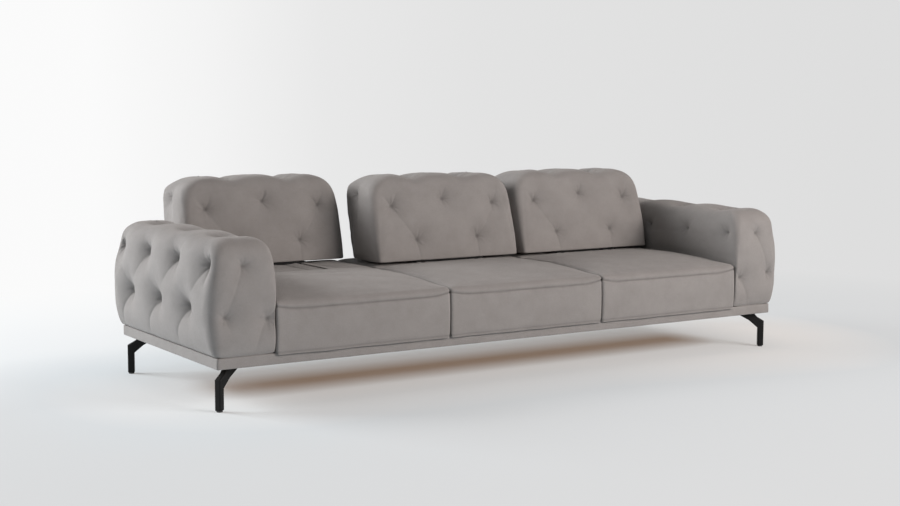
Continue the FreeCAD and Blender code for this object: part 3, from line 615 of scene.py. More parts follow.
class Tufting:
    """Pits, and the folds between them, on the skin of a padded form."""

    # A pit's rounded bottom, the share and reach of its wide bowl, and the reach of its steep part
    BOTTOM = 0.004
    BOWL_SHARE = 0.36
    BOWL_REACH = 2.5
    STEEP_REACH = 0.85

    # Reach of a fold's valley, of its line as it is drawn in, and of its line as it is creased
    VALLEY = 0.030
    LINE = 0.009
    CREASE = 0.0042

    # How far round the pits and folds the skin is held as it fills
    PIT_HOLD = 0.012
    FOLD_HOLD = 0.007

    def __init__(self, obj):
        self.tree = skin_tree(obj)
        self.pits = {}
        self.folds = []

    def on_skin(self, place):
        found = self.tree.find_nearest(Vector(place))
        return np.array(found[0]), np.array(found[1])

    def pit(self, name, place, depth, width):
        self.pits[name] = (*self.on_skin(place), depth, width)

    def fold(self, begin, end, depth, fade, bow=(0.0, 0.0, 0.0), reach=None):
        """A fold from one pit towards another pit or a place, fading in its middle or by its reach."""
        a = self.pits[begin][0]
        joined = isinstance(end, str)
        b = self.pits[end][0] if joined else np.array(end, float)
        extent = reach or 1.0
        count = max(8, int(np.linalg.norm(b - a) * extent / 0.005))
        for step in range(count + 1):
            t = step / count
            way = t * extent
            place = a + (b - a) * way + np.array(bow) * math.sin(math.pi * way)
            near = abs(2 * t - 1) if joined and reach is None else 1 - t
            self.folds.append((self.on_skin(place)[0], depth * (fade + (1 - fade) * near)))

    def fold_field(self, points):
        """Distance to the nearest fold line, and that fold's depth there."""
        tree = KDTree(len(self.folds))
        for index, (place, _) in enumerate(self.folds):
            tree.insert(Vector(place), index)
        tree.balance()
        depths = np.array([depth for _, depth in self.folds])
        found = [tree.find(Vector(p)) for p in points]
        distance = np.array([f[2] for f in found])
        return distance, depths[[f[1] for f in found]]

    def pit_field(self, points):
        """How far the pits draw each point in, and its distance to the nearest pit."""
        drop = np.zeros(len(points))
        nearest = np.full(len(points), 9.0)
        for point, _, depth, width in self.pits.values():
            d = np.linalg.norm(points - point, axis=1)
            soft = np.sqrt(d * d + self.BOTTOM**2) - self.BOTTOM
            steep = (1 - self.BOWL_SHARE) * np.exp(-soft / (self.STEEP_REACH * width))
            drop = np.maximum(drop, depth * (steep + self.BOWL_SHARE * bell(d, self.BOWL_REACH * width)))
            nearest = np.minimum(nearest, d)
        return drop, nearest

    def draw_in(self, obj, valley, grip):
        """Presses pits and broad valleys into the skin, and returns how firmly each point is held."""
        points = get_points(obj.data)
        drop, near_pit = self.pit_field(points)
        distance, depth = self.fold_field(points)
        trough = depth * valley * bell(distance, self.VALLEY) + depth * np.exp(-distance / self.LINE)
        push_out(obj.data, -(drop + trough))
        folds_held = grip * bell(distance, self.FOLD_HOLD) * limit(depth / 0.006)
        return np.maximum(bell(near_pit, self.PIT_HOLD), folds_held)

    def crease(self, obj, rest, sharp, pucker, seed):
        """Cuts the fold lines and the fine gathers round each pit into the finished skin, and stores
        painted shade for the pits, their cores and the fold lines.
        """
        drop, _ = self.pit_field(rest)
        distance, depth = self.fold_field(rest)
        draw = np.random.default_rng(seed)
        ripple = np.zeros(len(rest))
        painted_pit_shade = np.zeros(len(rest))
        for point, normal, pit_depth, width in self.pits.values():
            offset = rest - point
            d = np.linalg.norm(offset, axis=1)
            side = np.cross(normal, (0.31, 0.17, 0.93))
            side /= np.linalg.norm(side)
            other = np.cross(normal, side)
            angle = np.arctan2(offset @ other, offset @ side)
            reach = width * 1.5
            size = pucker * min(1.0, pit_depth / 0.03 + 0.35)
            wave = np.zeros(len(rest))
            for waves in (5, 8, 11):
                turn = draw.uniform(0, math.tau)
                wave += np.cos(waves * angle + turn + 6.0 * d / reach * draw.uniform(-0.3, 0.3)) / 2.2
            ripple += size * wave * bell(d - 0.6 * reach, 0.55 * reach)
            # Painted shade in each pit's core, darker for deeper pits.
            dark = min(1.5, 0.6 + pit_depth / 0.05)
            painted_pit_shade = np.maximum(painted_pit_shade, dark * bell(d, 0.50 * width))
        line = sharp * depth * np.exp(-(distance / self.CREASE) ** 1.3)
        push_out(obj.data, ripple - line)
        # Painted shade, deepest in the pits and along the fold lines.
        fold = 0.75 * drop / max(1e-6, drop.max())
        fold = np.maximum(fold**1.2, 0.55 * limit(depth / 0.008) * np.exp(-distance / 0.006))
        set_painted_shade(obj.data, np.maximum(fold, painted_pit_shade))


# Finished pieces


def set_painted_shade(mesh, values):
    """Stores how deep in a fold, pit or seam each point lies, which paints shade on the cloth there."""
    attribute = mesh.attributes.get("fold") or mesh.attributes.new("fold", "FLOAT", "POINT")
    attribute.data.foreach_set("value", np.asarray(values, np.float32))


def lay_weave(mesh):
    """Lays the weave flat on every face, in metres."""
    count = len(mesh.polygons)
    normals = np.empty(count * 3, np.float32)
    mesh.polygons.foreach_get("normal", normals)
    axis = np.abs(normals.reshape(-1, 3)).argmax(1)
    totals = np.empty(count, np.int32)
    mesh.polygons.foreach_get("loop_total", totals)
    corners = np.empty(len(mesh.loops), np.int32)
    mesh.loops.foreach_get("vertex_index", corners)
    pairs = np.array([[1, 2], [0, 2], [0, 1]])[axis[np.repeat(np.arange(count), totals)]]
    flat = get_points(mesh)[corners[:, None], pairs]
    layer = mesh.uv_layers.get("weave") or mesh.uv_layers.new(name="weave")
    layer.data.foreach_set("uv", flat.astype(np.float32).ravel())


def place_piece(obj, body, slot, nodes=(), material=None):
    """Gives a finished piece its finish and its body, and hides the nodes that it stands for."""
    mesh = obj.data
    mesh.materials.clear()
    mesh.materials.append(finish(material or slot))
    mesh.polygons.foreach_set("use_smooth", [True] * len(mesh.polygons))
    if (material or slot) == "upholstery":
        if mesh.attributes.get("fold") is None:
            set_painted_shade(mesh, np.zeros(len(mesh.vertices)))
        lay_weave(mesh)
    mesh.update()
    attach(obj, body)
    if nodes:
        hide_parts(*nodes)
    return obj


def copy_piece(obj, name, mirror=False):
    """A second piece with its own mesh, as it is or mirrored from left to right."""
    twin = obj.copy()
    twin.data = obj.data.copy()
    twin.name = twin.data.name = name
    bpy.context.scene.collection.objects.link(twin)
    if mirror:
        twin.data.flip_normals()
        set_points(twin.data, get_points(twin.data) * (-1.0, 1.0, 1.0))
    return twin


# Arms


# Height, swell outside, inner face, swell at the front and rear, and outer corner, in millimetres
ARM_STACK = (
    (202, 6, 232, 1, 2, 14),
    (216, 17, 232, 10, 13, 26),
    (250, 29, 232, 18, 24, 38),
    (312, 38, 232, 23, 32, 44),
    (396, 40, 232, 25, 35, 46),
    (476, 39, 233, 24, 34, 46),
    (536, 34, 233, 20, 30, 46),
    (578, 26, 227, 11, 20, 46),
    (608, 10, 216, -6, 4, 44),
    (628, -14, 196, -30, -22, 40),
    (639, -42, 170, -58, -50, 30),
    (643, -74, 142, -84, -78, 20),
)

# Rows of tufts: place across, places along, height, and shares of the full depth and width
ARM_TUFT_ROWS = {
    "upper": (-0.045, (0.062, 0.349, 0.636, 0.911), 0.546, 1.0, 1.0),
    "inner": (0.235, (0.055, 0.326, 0.588, 0.860), 0.538, 0.48, 0.62),
    "lower": (-0.045, (0.225, 0.512, 0.799), 0.367, 1.0, 1.0),
    "top": (0.120, (0.176, 0.456, 0.762), 0.68, 0.78, 1.2),
}

# Tufts on the front: place across, height, and shares of the full depth and width
ARM_FRONT_TUFTS = {
    "front_top": (0.102, 0.537, 0.36, 0.6),
    "front_low": (0.028, 0.350, 0.36, 0.6),
    "front_side": (0.198, 0.336, 0.34, 0.75),
}

# How much fuller the right arm is at its shoulder and its top
SHOULDER_FILL = 0.011
TOP_FILL = 0.007

# The inner face beside the sliding block: where it begins, its run-in, its place and its last room
BESIDE_BLOCK = 0.50
BESIDE_RUN = 0.06
INNER_FACE = 0.226
INNER_ROOM = 0.008


def arm_rows(inset):
    rows = []
    for height, out, inner, ahead, behind, corner in ARM_STACK:
        part = (height * MM - PLINTH_TOP) / (ARM_TOP - PLINTH_TOP)
        inner_corner = 0.012 + 0.018 * min(1.0, max(0.0, height / 140 - 3))
        rows.append((-END - out * MM + inset, -END + inner * MM, FRONT - ahead * MM + inset,
                     REAR + behind * MM - inset, height * MM - inset * part, corner * MM, inner_corner))
    x0, x1, y0, y1, z, _, _ = rows[-1]
    middle = (x0 + x1) / 2
    rows.append((middle - 0.004, middle + 0.004, y0 + 0.030, y1 - 0.030, z + 0.0012, 0.003, 0.003))
    return rows


def arm_tufting(obj):
    tufts = Tufting(obj)
    deep, width = sizes().tuft_depth, sizes().tuft_width
    fold = sizes().pleat_depth
    for row, (x, places, z, depth_share, width_share) in ARM_TUFT_ROWS.items():
        for n, y in enumerate(places):
            tufts.pit("%s%d" % (row, n), (-END + x, FRONT + y, z), depth_share * deep, width_share * width)
    for name, (x, z, depth_share, width_share) in ARM_FRONT_TUFTS.items():
        tufts.pit(name, (-END + x, FRONT - 0.03, z), depth_share * deep, width_share * width)
    for n in range(3):
        tufts.fold("upper%d" % n, "lower%d" % n, 0.75 * fold, 0.0, (0, 0.006, -0.020), 0.62)
        tufts.fold("upper%d" % (n + 1), "lower%d" % n, 0.25 * fold, 0.1)
        for m in (n, n + 1):
            tufts.fold("upper%d" % m, "top%d" % n, 0.30 * fold, 0.2)
            tufts.fold("inner%d" % m, "top%d" % n, 0.22 * fold, 0.2)
        x, y, _ = tufts.pits["lower%d" % n][0]
        tufts.fold("lower%d" % n, (x, y + 0.090, PLINTH_TOP), 0.8 * fold, 0.15, (0, 0.022, 0))
    x, y, _ = tufts.pits["upper0"][0]
    tufts.fold("upper0", (x, y - 0.012, 0.455), 0.9 * fold, 0.0)
    tufts.fold("upper0", (x, y - 0.022, 0.605), 0.7 * fold, 0.0)
    tufts.fold("front_top", "front_low", 0.30 * fold, 0.6)
    for x, z in ((0.070, 0.584), (0.120, 0.590), (0.146, 0.560)):
        tufts.fold("front_top", (-END + x, FRONT - 0.02, z), 0.32 * fold, 0.0)
    tufts.fold("front_low", (-END + 0.056, FRONT - 0.01, 0.286), 0.4 * fold, 0.0)
    tufts.fold("front_side", (-END + 0.150, FRONT - 0.01, PLINTH_TOP), 0.6 * fold, 0.1, (-0.010, 0, 0))
    tufts.fold("front_side", (-END + 0.240, FRONT - 0.01, 0.372), 0.4 * fold, 0.1)
    return tufts


def clear_block(points):
    """Keeps the left arm's inner face clear of the block that slides beside it."""
    beside = limit((points[:, 1] - FRONT - BESIDE_BLOCK) / BESIDE_RUN)
    flat = keep_within(points[:, 0], -END + INNER_FACE, INNER_ROOM)
    points[:, 0] += beside * (flat - points[:, 0])
    return points


def fill_out(points):
    """Plumps the right arm's top and its outer shoulder."""
    high = ease((points[:, 2] - 0.53) / 0.10)
    outer = limit((points[:, 0] - END + 0.10) / 0.10)
    points[:, 0] += SHOULDER_FILL * outer * bell(points[:, 2] - 0.600, 0.045)
    points[:, 2] += TOP_FILL * high
    return points


class SOFA_OT_arms(bpy.types.Operator):
    """Make the two tufted arms"""

    bl_idname = "sofa.arms"
    bl_label = "Arms"

    def execute(self, context):
        points, faces = stack_form(smooth_rows(arm_rows(FILL_ROOM), ARM_CELL), ARM_CELL, True)
        arm = new_mesh_object("arm_left", points, faces)
        tufts = arm_tufting(arm)
        rest = get_points(arm.data)
        held = tufts.draw_in(arm, 1.2, 0.0)
        against_seat = (rest[:, 0] > -END + 0.213) & (rest[:, 2] < 0.436)
        held = np.maximum(held, against_seat | (rest[:, 2] < PLINTH_TOP + 0.012))
        fill_cushion(arm, held, TUFT_PRESSURE, sizes().swell)
        subdivide(arm)
        tufts.crease(arm, finer_points(points, faces), 0.9, 0.0016, 11)
        set_points(arm.data, clear_block(get_points(arm.data)))
        right = copy_piece(arm, "arm_right", mirror=True)
        set_points(right.data, fill_out(get_points(right.data)))
        place_piece(arm, "base", "upholstery", ["arm_pad_left"])
        place_piece(right, "base", "upholstery", ["arm_pad_right"])
        return {"FINISHED"}


# Back blocks


# Roundings of a block's top over its ends and over its faces, each with the most that it draws in
END_ROUND = (0.098, 0.0843)
FACE_ROUND = (0.045, 0.0387)

# Places of the tufts across and in height, and how far the top dips at its tufts and rear corners
UPPER_TUFT = (0.265, 0.675)
LOWER_TUFT = (0.159, 0.527)
TOP_TUFT_X = 0.130
TOP_DIP = 0.012
CORNER_DROP = 0.019

# Where a block's ends begin to flatten, and the room that they have beyond that
BLOCK_END = 0.370
BLOCK_END_ROOM = 0.0095


def top_draw(z, radius, most):
    """How far a rounded top draws in at a height."""
    up = max(0.0, z - (BACK_TOP - radius))
    return min(radius - math.sqrt(max(0.0, radius * radius - up * up)), most)


def back_rows(inset):
    rise = BACK_TOP - BACK_LOW
    rows = []
    levels = [(BACK_LOW, 0.0055), (BACK_LOW + 0.0015, 0.002), (BACK_LOW + 0.006, 0.0004)]
    levels += [(BACK_LOW + up * rise, 0.0) for up in (0.08, 0.3, 0.55)]
    levels += [(BACK_TOP - down * END_ROUND[0], 0.0) for down in (1.0, 0.62, 0.34, 0.14, 0.035, 0.0)]
    for z, draw in levels:
        part = (z - BACK_LOW) / rise
        puff = 0.007 * math.sin(math.pi * min(1.0, part * 1.05))
        narrow = draw - (puff - 0.004 * part) + top_draw(z, *END_ROUND) + inset
        thin = draw + top_draw(z, *FACE_ROUND) - puff + inset
        rows.append((narrow - BACK_HALF, BACK_HALF - narrow,
                     FRONT + BACK_FRONT + BACK_LEAN_FRONT * part + thin,
                     FRONT + BACK_FRONT + BACK_DEPTH + BACK_LEAN_REAR * part - thin,
                     z - inset * part, 0.014 + 0.026 * part, 0.014 + 0.026 * part))
    x0, x1, y0, y1, z, _, _ = rows[-1]
    middle = (y0 + y1) / 2
    rows.append((x0 + 0.020, x1 - 0.020, y0 + 0.018, y1 - 0.018, z + 0.002, 0.020, 0.020))
    rows.append((x0 + 0.045, x1 - 0.045, middle - 0.004, middle + 0.004, z + 0.003, 0.003, 0.003))
    return rows


def back_tufting(obj):
    tufts = Tufting(obj)
    deep, width = sizes().back_tuft_depth, 0.8 * sizes().tuft_width
    fold = 0.8 * sizes().pleat_depth
    front = FRONT + BACK_FRONT
    middle = front + BACK_DEPTH / 2 + 0.5 * (BACK_LEAN_FRONT + BACK_LEAN_REAR)

    def on_front(x, z):
        part = (z - BACK_LOW) / (BACK_TOP - BACK_LOW)
        return (x, front + BACK_LEAN_FRONT * part, z)

    tufts.pit("upper_centre", on_front(0.0, 0.700), deep, width)
    for side, sign in (("left", -1), ("right", 1)):
        upper, lower, top = "upper_" + side, "lower_" + side, "top_" + side
        x, z = UPPER_TUFT[0] * sign, UPPER_TUFT[1]
        tufts.pit(upper, on_front(x, z), deep, width)
        tufts.pit(lower, on_front(LOWER_TUFT[0] * sign, LOWER_TUFT[1]), 0.9 * deep, width)
        tufts.pit(top, (TOP_TUFT_X * sign, middle, BACK_TOP + 0.02), 1.7 * deep, 1.5 * width)
        tufts.pit("end_" + side, (0.38 * sign, middle + 0.005, 0.728), 1.5 * deep, width)
        tufts.fold(upper, lower, (0.5 if sign < 0 else 0.3) * fold, 0.3, (0.010 * sign, 0, 0.0))
        tufts.fold(lower, on_front(0.152 * sign, BACK_LOW), 0.7 * fold, 0.25)
        for across, up in ((-0.045, 0.045), (0.032, 0.070), (-0.060, -0.028)):
            tufts.fold(upper, on_front(x + across, z + up), 0.55 * fold, 0.0)
        tufts.fold(lower, on_front(0.157 * sign + 0.040, 0.570), 0.35 * fold, 0.0)
        tufts.fold(top, on_front(0.120 * sign, 0.772), 0.22 * fold, 0.0)
    tufts.fold("upper_centre", on_front(0.022, 0.760), 0.6 * fold, 0.0)
    tufts.fold("upper_centre", on_front(-0.045, 0.713), 0.4 * fold, 0.0)
    return tufts


def scallop(points, rest):
    """Lowers a block's top between its three pillows, and its two rear corners."""
    aside = np.abs(rest[:, 0])
    rear = limit((rest[:, 1] - FRONT - BACK_FRONT - BACK_LEAN_FRONT) / BACK_DEPTH)
    drop = TOP_DIP * bell(aside - TOP_TUFT_X, 0.048) + CORNER_DROP * rear * limit((aside - 0.20) / 0.14)
    points[:, 2] -= drop * ease((rest[:, 2] - 0.750) / 0.050)
    return points


class SOFA_OT_backs(bpy.types.Operator):
    """Make the three tufted back blocks"""

    bl_idname = "sofa.backs"
    bl_label = "Back blocks"

    def execute(self, context):
        points, faces = stack_form(smooth_rows(back_rows(FILL_ROOM), BACK_CELL), BACK_CELL, False)
        first = new_mesh_object("back_block", points, faces)
        tufts = back_tufting(first)
        rest = get_points(first.data)
        held = tufts.draw_in(first, 0.5, 0.15)
        held = np.maximum(held, (rest[:, 2] < BACK_LOW + 0.012).astype(float))
        fill_cushion(first, held, TUFT_PRESSURE, sizes().swell)
        subdivide(first)
        rest = finer_points(points, faces)
        for number, side in enumerate(SIDES):
            block = copy_piece(first, "back_block_" + side)
            tufts.crease(block, rest, 1.0, 0.0013, 31 + number)
            waves = 0.0014 * smooth_noise(rest, 0.22, 61 + number)
            push_out(block.data, waves * limit((rest[:, 2] - BACK_LOW) / 0.04))
            points = scallop(get_points(block.data), rest)
            aside = keep_within(np.abs(points[:, 0]), BLOCK_END, BLOCK_END_ROOM)
            points[:, 0] = np.sign(points[:, 0]) * aside
            set_points(block.data, points + (SEAT_X[number], BACK_SLID[side], 0.0))
            place_piece(block, "back_" + side, "upholstery", ["back_pad_" + side])
        bpy.data.objects.remove(first)
        return {"FINISHED"}


# Seats


# Rise of the crown behind the front edge, and the share of it that a distance from the sides allows
FRONT_RISE = ((0.0, 0.008), (0.006, 0.020), (0.020, 0.032), (0.060, 0.043), (0.120, 0.052),
              (0.166, 0.057), (0.250, 0.063), (0.338, 0.067), (0.450, 0.067), (0.540, 0.0665),
              (0.579, 0.0655), (0.585, 0.060), (0.588, 0.048))
SIDE_SHARE = ((0.0, 0.58), (0.006, 0.72), (0.020, 0.83), (0.060, 0.92), (0.120, 0.97), (0.200, 1.0))
CROWN = 0.97
EAR_LIFT = 0.013
HEM_DROP = 0.009
HEM_HEIGHT = 0.0105
SEAT_CORNER = 0.009


def seat_rows(spacing):
    """Rows up the wall to the seam, then inwards over the top to a narrow strip."""
    wall = [(0.0130, 0.0006), (0.0105, 0.0007), (0.0030, 0.0008), (0.0008, 0.0022), (0.0, 0.0065),
            (0.0002, 0.014), (0.0, 0.030), (0.0, 0.090), (0.0, SEAM_Z - 0.030 - PLINTH_TOP),
            (0.0, SEAM_Z - PLINTH_TOP)]
    rows = []
    for inset, up in wall:
        swell = 0.004 * math.sin(math.pi * up / (SEAM_Z - PLINTH_TOP))
        rows.append((inset - SEAT_HALF, SEAT_HALF - inset, FRONT + SEAT_FRONT + inset - swell,
                     FRONT + SEAT_REAR - inset, PLINTH_TOP + up, SEAT_CORNER, SEAT_CORNER))
    rows = [*rows[:6], *smooth_rows(rows[6:], spacing)]
    depth = (SEAT_REAR - SEAT_FRONT) / 2
    inset = 0.0
    while inset < depth - 0.006:
        inset += spacing * (0.35 if inset < 0.020 else 1.0)
        step = min(inset, depth - 0.004)
        rows.append((step - SEAT_HALF, SEAT_HALF - step, FRONT + SEAT_FRONT + step,
                     FRONT + SEAT_REAR - step, SEAM_Z + 0.0001 * len(rows), SEAT_CORNER, SEAT_CORNER))
    return np.array(rows)


def from_edges(points):
    """Distances of points from a seat's front, and from its nearer side."""
    return points[:, 1] - (FRONT + SEAT_FRONT), SEAT_HALF - np.abs(points[:, 0])


def ear_lift(points):
    """Rise of the seam at the seat's two front corners."""
    return EAR_LIFT * np.exp(-(np.hypot(*from_edges(points)) / 0.050) ** 1.5)


def hem_fall(points):
    """How far the front of the seat hangs below the plinth's top."""
    return HEM_DROP * ease((FRONT - 0.0015 - points[:, 1]) / 0.004)


def shape_seat(points):
    """Crowns the points above the seam, lifts the front corners and lets the front hem hang."""
    fore, aside = from_edges(points)
    rise = np.interp(fore, *np.array(FRONT_RISE).T) * np.interp(aside, *np.array(SIDE_SHARE).T)
    top = points[:, 2] > SEAM_Z + 1e-5
    low = limit(1 - (points[:, 2] - PLINTH_TOP) / 0.045)
    high = limit(1 - (SEAM_Z - points[:, 2]) / 0.060)
    points[top, 2] = SEAM_Z + rise[top] * CROWN
    points[:, 2] += ear_lift(points) * high - hem_fall(points) * low
    return top


class SOFA_OT_seats(bpy.types.Operator):
    """Make the three boxed seat cushions"""

    bl_idname = "sofa.seats"
    bl_label = "Seat cushions"

    def execute(self, context):
        points, faces = stack_form(seat_rows(SEAT_CELL), SEAT_CELL, False)
        top = shape_seat(points)
        first = new_mesh_object("seat_cushion", points, faces)
        fore, aside = from_edges(points)
        edge = np.minimum(np.minimum(aside, FRONT + SEAT_REAR - points[:, 1]), fore + 0.010)
        held = np.where(top, limit(1 - edge / 0.045), 1.0)
        fill_cushion(first, held, 1.5, 0.008)
        subdivide(first)
        shape = get_points(first.data)
        for number, side in enumerate(SIDES):
            seat = copy_piece(first, "seat_cushion_soft_" + side)
            self.sew(seat, shape, number)
            set_points(seat.data, get_points(seat.data) + (SEAT_X[number], 0.0, 0.0))
            nodes = ["seat_cushion_" + side]
            if side == "middle":
                nodes.append("spring_pads")
            place_piece(seat, "base", "upholstery", nodes)
        bpy.data.objects.remove(first)
        return {"FINISHED"}

    def sew(self, seat, shape, number):
        """Draws in the top seam, the turned lower edge and the soft puckers beside them, and paints shade
        into the seam's groove and along the hem.
        """
        z = shape[:, 2]
        wave = smooth_noise(shape, 0.16, 81 + number)
        fine = smooth_noise(shape, 0.045, 91 + number)
        seam = z - (SEAM_Z + ear_lift(shape) + 0.0010 * wave)
        hem = z - (PLINTH_TOP + HEM_HEIGHT - hem_fall(shape))
        fore, aside = from_edges(shape)
        aside = np.minimum(aside, FRONT + SEAT_REAR - shape[:, 1])
        skirt = np.minimum(aside, fore) < 0.012
        groove = sizes().seam_depth * bell(seam, 0.0034) * skirt
        lip = 0.0030 * bell(hem, 0.0028) * skirt
        above = 0.0014 * bell(seam - 0.010, 0.006) * skirt
        pucker = 0.0006 * fine * bell(seam, 0.02)
        calm = limit(aside / 0.03)
        push_out(seat.data, above + pucker * calm + 0.0010 * wave * calm - groove - lip)
        # Painted shade in the seam's groove and along the hem.
        set_painted_shade(seat.data, np.maximum(0.9 * bell(seam, 0.0032), 0.7 * bell(hem, 0.0028)) * skirt)


# Plinth


class SOFA_OT_plinth(bpy.types.Operator):
    """Make the fabric wrap of the plinth"""

    bl_idname = "sofa.plinth"
    bl_label = "Plinth wrap"

    def execute(self, context):
        low, high = PLINTH_LOW, PLINTH_TOP
        section = [(0.0038, low + 0.0002), (0.0018, low + 0.0005), (0.0006, low + 0.0016),
                   (0.0, low + 0.0036)]
        section += [(-0.0006 * math.sin(math.pi * t), low + 0.0036 + t * (high - low - 0.0072))
                    for t in np.linspace(0.1, 0.9, 7)]
        section += [(0.0, high - 0.0036), (0.0006, high - 0.0016), (0.0018, high - 0.0005),
                    (0.0040, high + 0.0003), (0.0300, high + 0.0004), (0.0300, high + 0.0001),
                    (0.0039, high - 0.0003), (0.0039, (low + high) / 2)]
        rings = []
        for inset, z in section:
            radius = max(0.002, 0.008 - inset)
            rings.append(ring(outline(inset - END, END - inset, FRONT + inset, REAR - inset,
                                      radius, radius, 340, 118, 5), z))
        count = len(rings[0])
        faces = []
        for level in range(len(rings)):
            faces += ring_faces(count, level * count, (level + 1) % len(rings) * count)
        points = np.concatenate(rings)
        wrap = new_mesh_object("plinth_wrap", points, faces)
        slack = 0.0006 * smooth_noise(points, 0.12, 5) + 0.0004 * smooth_noise(points, 0.035, 6)
        push_out(wrap.data, slack * limit(1 - np.abs(points[:, 2] - (low + high) / 2) / 0.023) ** 0.5)
        place_piece(wrap, "base", "upholstery",
                    ["plinth_cover_" + s for s in ("front", "rear", "left", "right")])
        return {"FINISHED"}


# Deck and rear cover


# Sections of a pad: inset, share of its height, and corner
PAD_SECTIONS = ((0.004, 0.0, 0.010), (0.001, 0.08, 0.013), (0.0, 0.2, 0.014), (0.0, 0.42, 0.014),
                (0.003, 0.56, 0.014), (0.010, 0.67, 0.012), (0.030, 0.83, 0.010), (0.060, 0.95, 0.008))

# Pads behind one seat: begin and end across, lift of the base, and how much lower the top is
DECK_PADS = ((-0.380, -0.181, 0.0, 0.0), (0.181, 0.380, 0.0, 0.0), (-0.112, 0.112, 0.003, 0.0022))

# Flaps beside the slides' slots: begin and end across, and the inset and height of each row
DECK_FLAPS = ((-0.208, -0.1493), (-0.1307, -0.078), (0.078, 0.1307), (0.1493, 0.208))
FLAP_ROWS = ((0.0012, 0.42515), (0.0, 0.4256), (0.0005, 0.42615), (0.004, 0.42635))
FLAP_FALL = 0.0056
SLIDE_OFFSET = 0.140
REAR_SEAMS = (-0.382, 0.382)


def pad_rows(x0, x1, y0, y1, z0, z1):
    rows = [(x0 + inset, x1 - inset, y0 + inset, y1 - inset, z0 + up * (z1 - z0), radius, radius)
            for inset, up, radius in PAD_SECTIONS]
    middle, reach = (x0 + x1) / 2, (x1 - x0) / 2 - 0.004
    rows.append((middle - 0.004, middle + 0.004, y0 + reach, y1 - reach, z1, 0.003, 0.003))
    return rows


class SOFA_OT_deck(bpy.types.Operator):
    """Make the padded deck and the rear cover"""

    bl_idname = "sofa.deck"
    bl_label = "Deck and rear cover"

    def execute(self, context):
        low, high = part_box("deck_pads")
        points, faces, held = [], [], []

        def add(rows, spacing, firm):
            some, loops = stack_form(rows, spacing, True)
            shift = sum(len(part) for part in points)
            faces.extend([i + shift for i in loop] for loop in loops)
            points.append(some)
            held.append(np.maximum(firm, some[:, 2] < low.z + 0.012))

        for centre in SEAT_X:
            for begin, end, lift, lower in DECK_PADS:
                rows = pad_rows(centre + begin, centre + end, low.y, high.y,
                                low.z + lift, DECK_TOP - lower)
                add(smooth_rows(rows, PAD_CELL), PAD_CELL, 0.0)
            for begin, end in DECK_FLAPS:
                rows = [(centre + begin + edge, centre + end - edge, low.y + 0.002 + edge,
                         high.y - 0.006 - edge, z, 0.003, 0.003) for edge, z in FLAP_ROWS]
                add(np.array(rows), FLAP_CELL, 1.0)
                aside = np.abs(np.abs(points[-1][:, 0] - centre) - SLIDE_OFFSET)
                points[-1][:, 2] -= FLAP_FALL * ease((aside - 0.025) / 0.034)
        pads = new_mesh_object("deck_padding", np.concatenate(points), faces)
        fill_cushion(pads, np.concatenate(held), 3.0, 0.002)
        subdivide(pads)
        place_piece(pads, "base", "upholstery", ["deck_pads"])
        self.rear_cover()
        return {"FINISHED"}

    def rear_cover(self):
        low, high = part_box("rear_cover")
        rows = []
        for inset, z in ((0.004, low.z + 0.0003), (0.0012, low.z + 0.0015), (0.0, low.z + 0.005),
                         (0.0, low.z + 0.03), (0.0, high.z - 0.03), (0.0, high.z - 0.006),
                         (0.0014, high.z - 0.0018), (0.0045, high.z)):
            swell = 0.003 * math.sin(math.pi * (z - low.z) / (high.z - low.z))
            rows.append((low.x + inset, high.x - inset, low.y + 0.2 * inset, high.y - inset + swell,
                         z, 0.004, 0.004))
        points, faces = stack_form(smooth_rows(rows, COVER_CELL), COVER_CELL, False)
        cover = new_mesh_object("rear_cover_soft", points, faces)
        subdivide(cover)
        points = get_points(cover.data)
        seam = np.max([bell(points[:, 0] - x, 0.004) for x in REAR_SEAMS], axis=0)
        outer = points[:, 1] > high.y - 0.004
        slack = 0.0008 * smooth_noise(points, 0.2, 7)
        push_out(cover.data, np.where(outer, slack - 0.0028 * seam, 0.0))
        # Painted shade along the seams' grooves.
        set_painted_shade(cover.data, np.where(outer, 0.8 * seam, 0.0))
        place_piece(cover, "base", "upholstery", ["rear_cover"])


# Underside


# Cut off each corner of the dust cover, measured along both edges together
DUST_NOTCH = 0.230


class SOFA_OT_dust_cover(bpy.types.Operator):
    """Make the black lining under the base"""

    bl_idname = "sofa.dust_cover"
    bl_label = "Dust cover"

    def execute(self, context):
        low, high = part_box("dust_cover")
        xs = np.linspace(low.x, high.x, 228)
        ys = np.linspace(low.y, high.y, 80)
        level = (low.z + high.z) / 2
        points = []
        for x in xs:
            for y in ys:
                edge = min(x - low.x, high.x - x, y - low.y, high.y - y)
                points.append((x, y, level - 0.0012 * min(1.0, edge / 0.12)))
        points = np.array(points)
        ripple = 0.0005 * smooth_noise(points, 0.25, 9)
        points[:, 2] = np.maximum(points[:, 2] + ripple, low.z - 0.002)
        faces = []
        for i in range(len(xs) - 1):
            for j in range(len(ys) - 1):
                x, y = (xs[i] + xs[i + 1]) / 2, (ys[j] + ys[j + 1]) / 2
                if min(x - low.x, high.x - x) + min(y - low.y, high.y - y) < DUST_NOTCH:
                    continue
                first = i * len(ys) + j
                faces.append((first, first + 1, first + len(ys) + 1, first + len(ys)))
        used = sorted({i for loop in faces for i in loop})
        order = {old: new for new, old in enumerate(used)}
        lining = new_mesh_object("dust_cover_cloth", points[used],
                                 [[order[i] for i in loop] for loop in faces])
        place_piece(lining, "base", "dust_cloth", ["dust_cover"])
        return {"FINISHED"}


# Stitching


THREAD_RADIUS = 0.0006
THREAD_LIFT = 0.0002
STITCH_ABOVE_SEAM = 0.006
STITCH_BESIDE_SEAM = 0.006


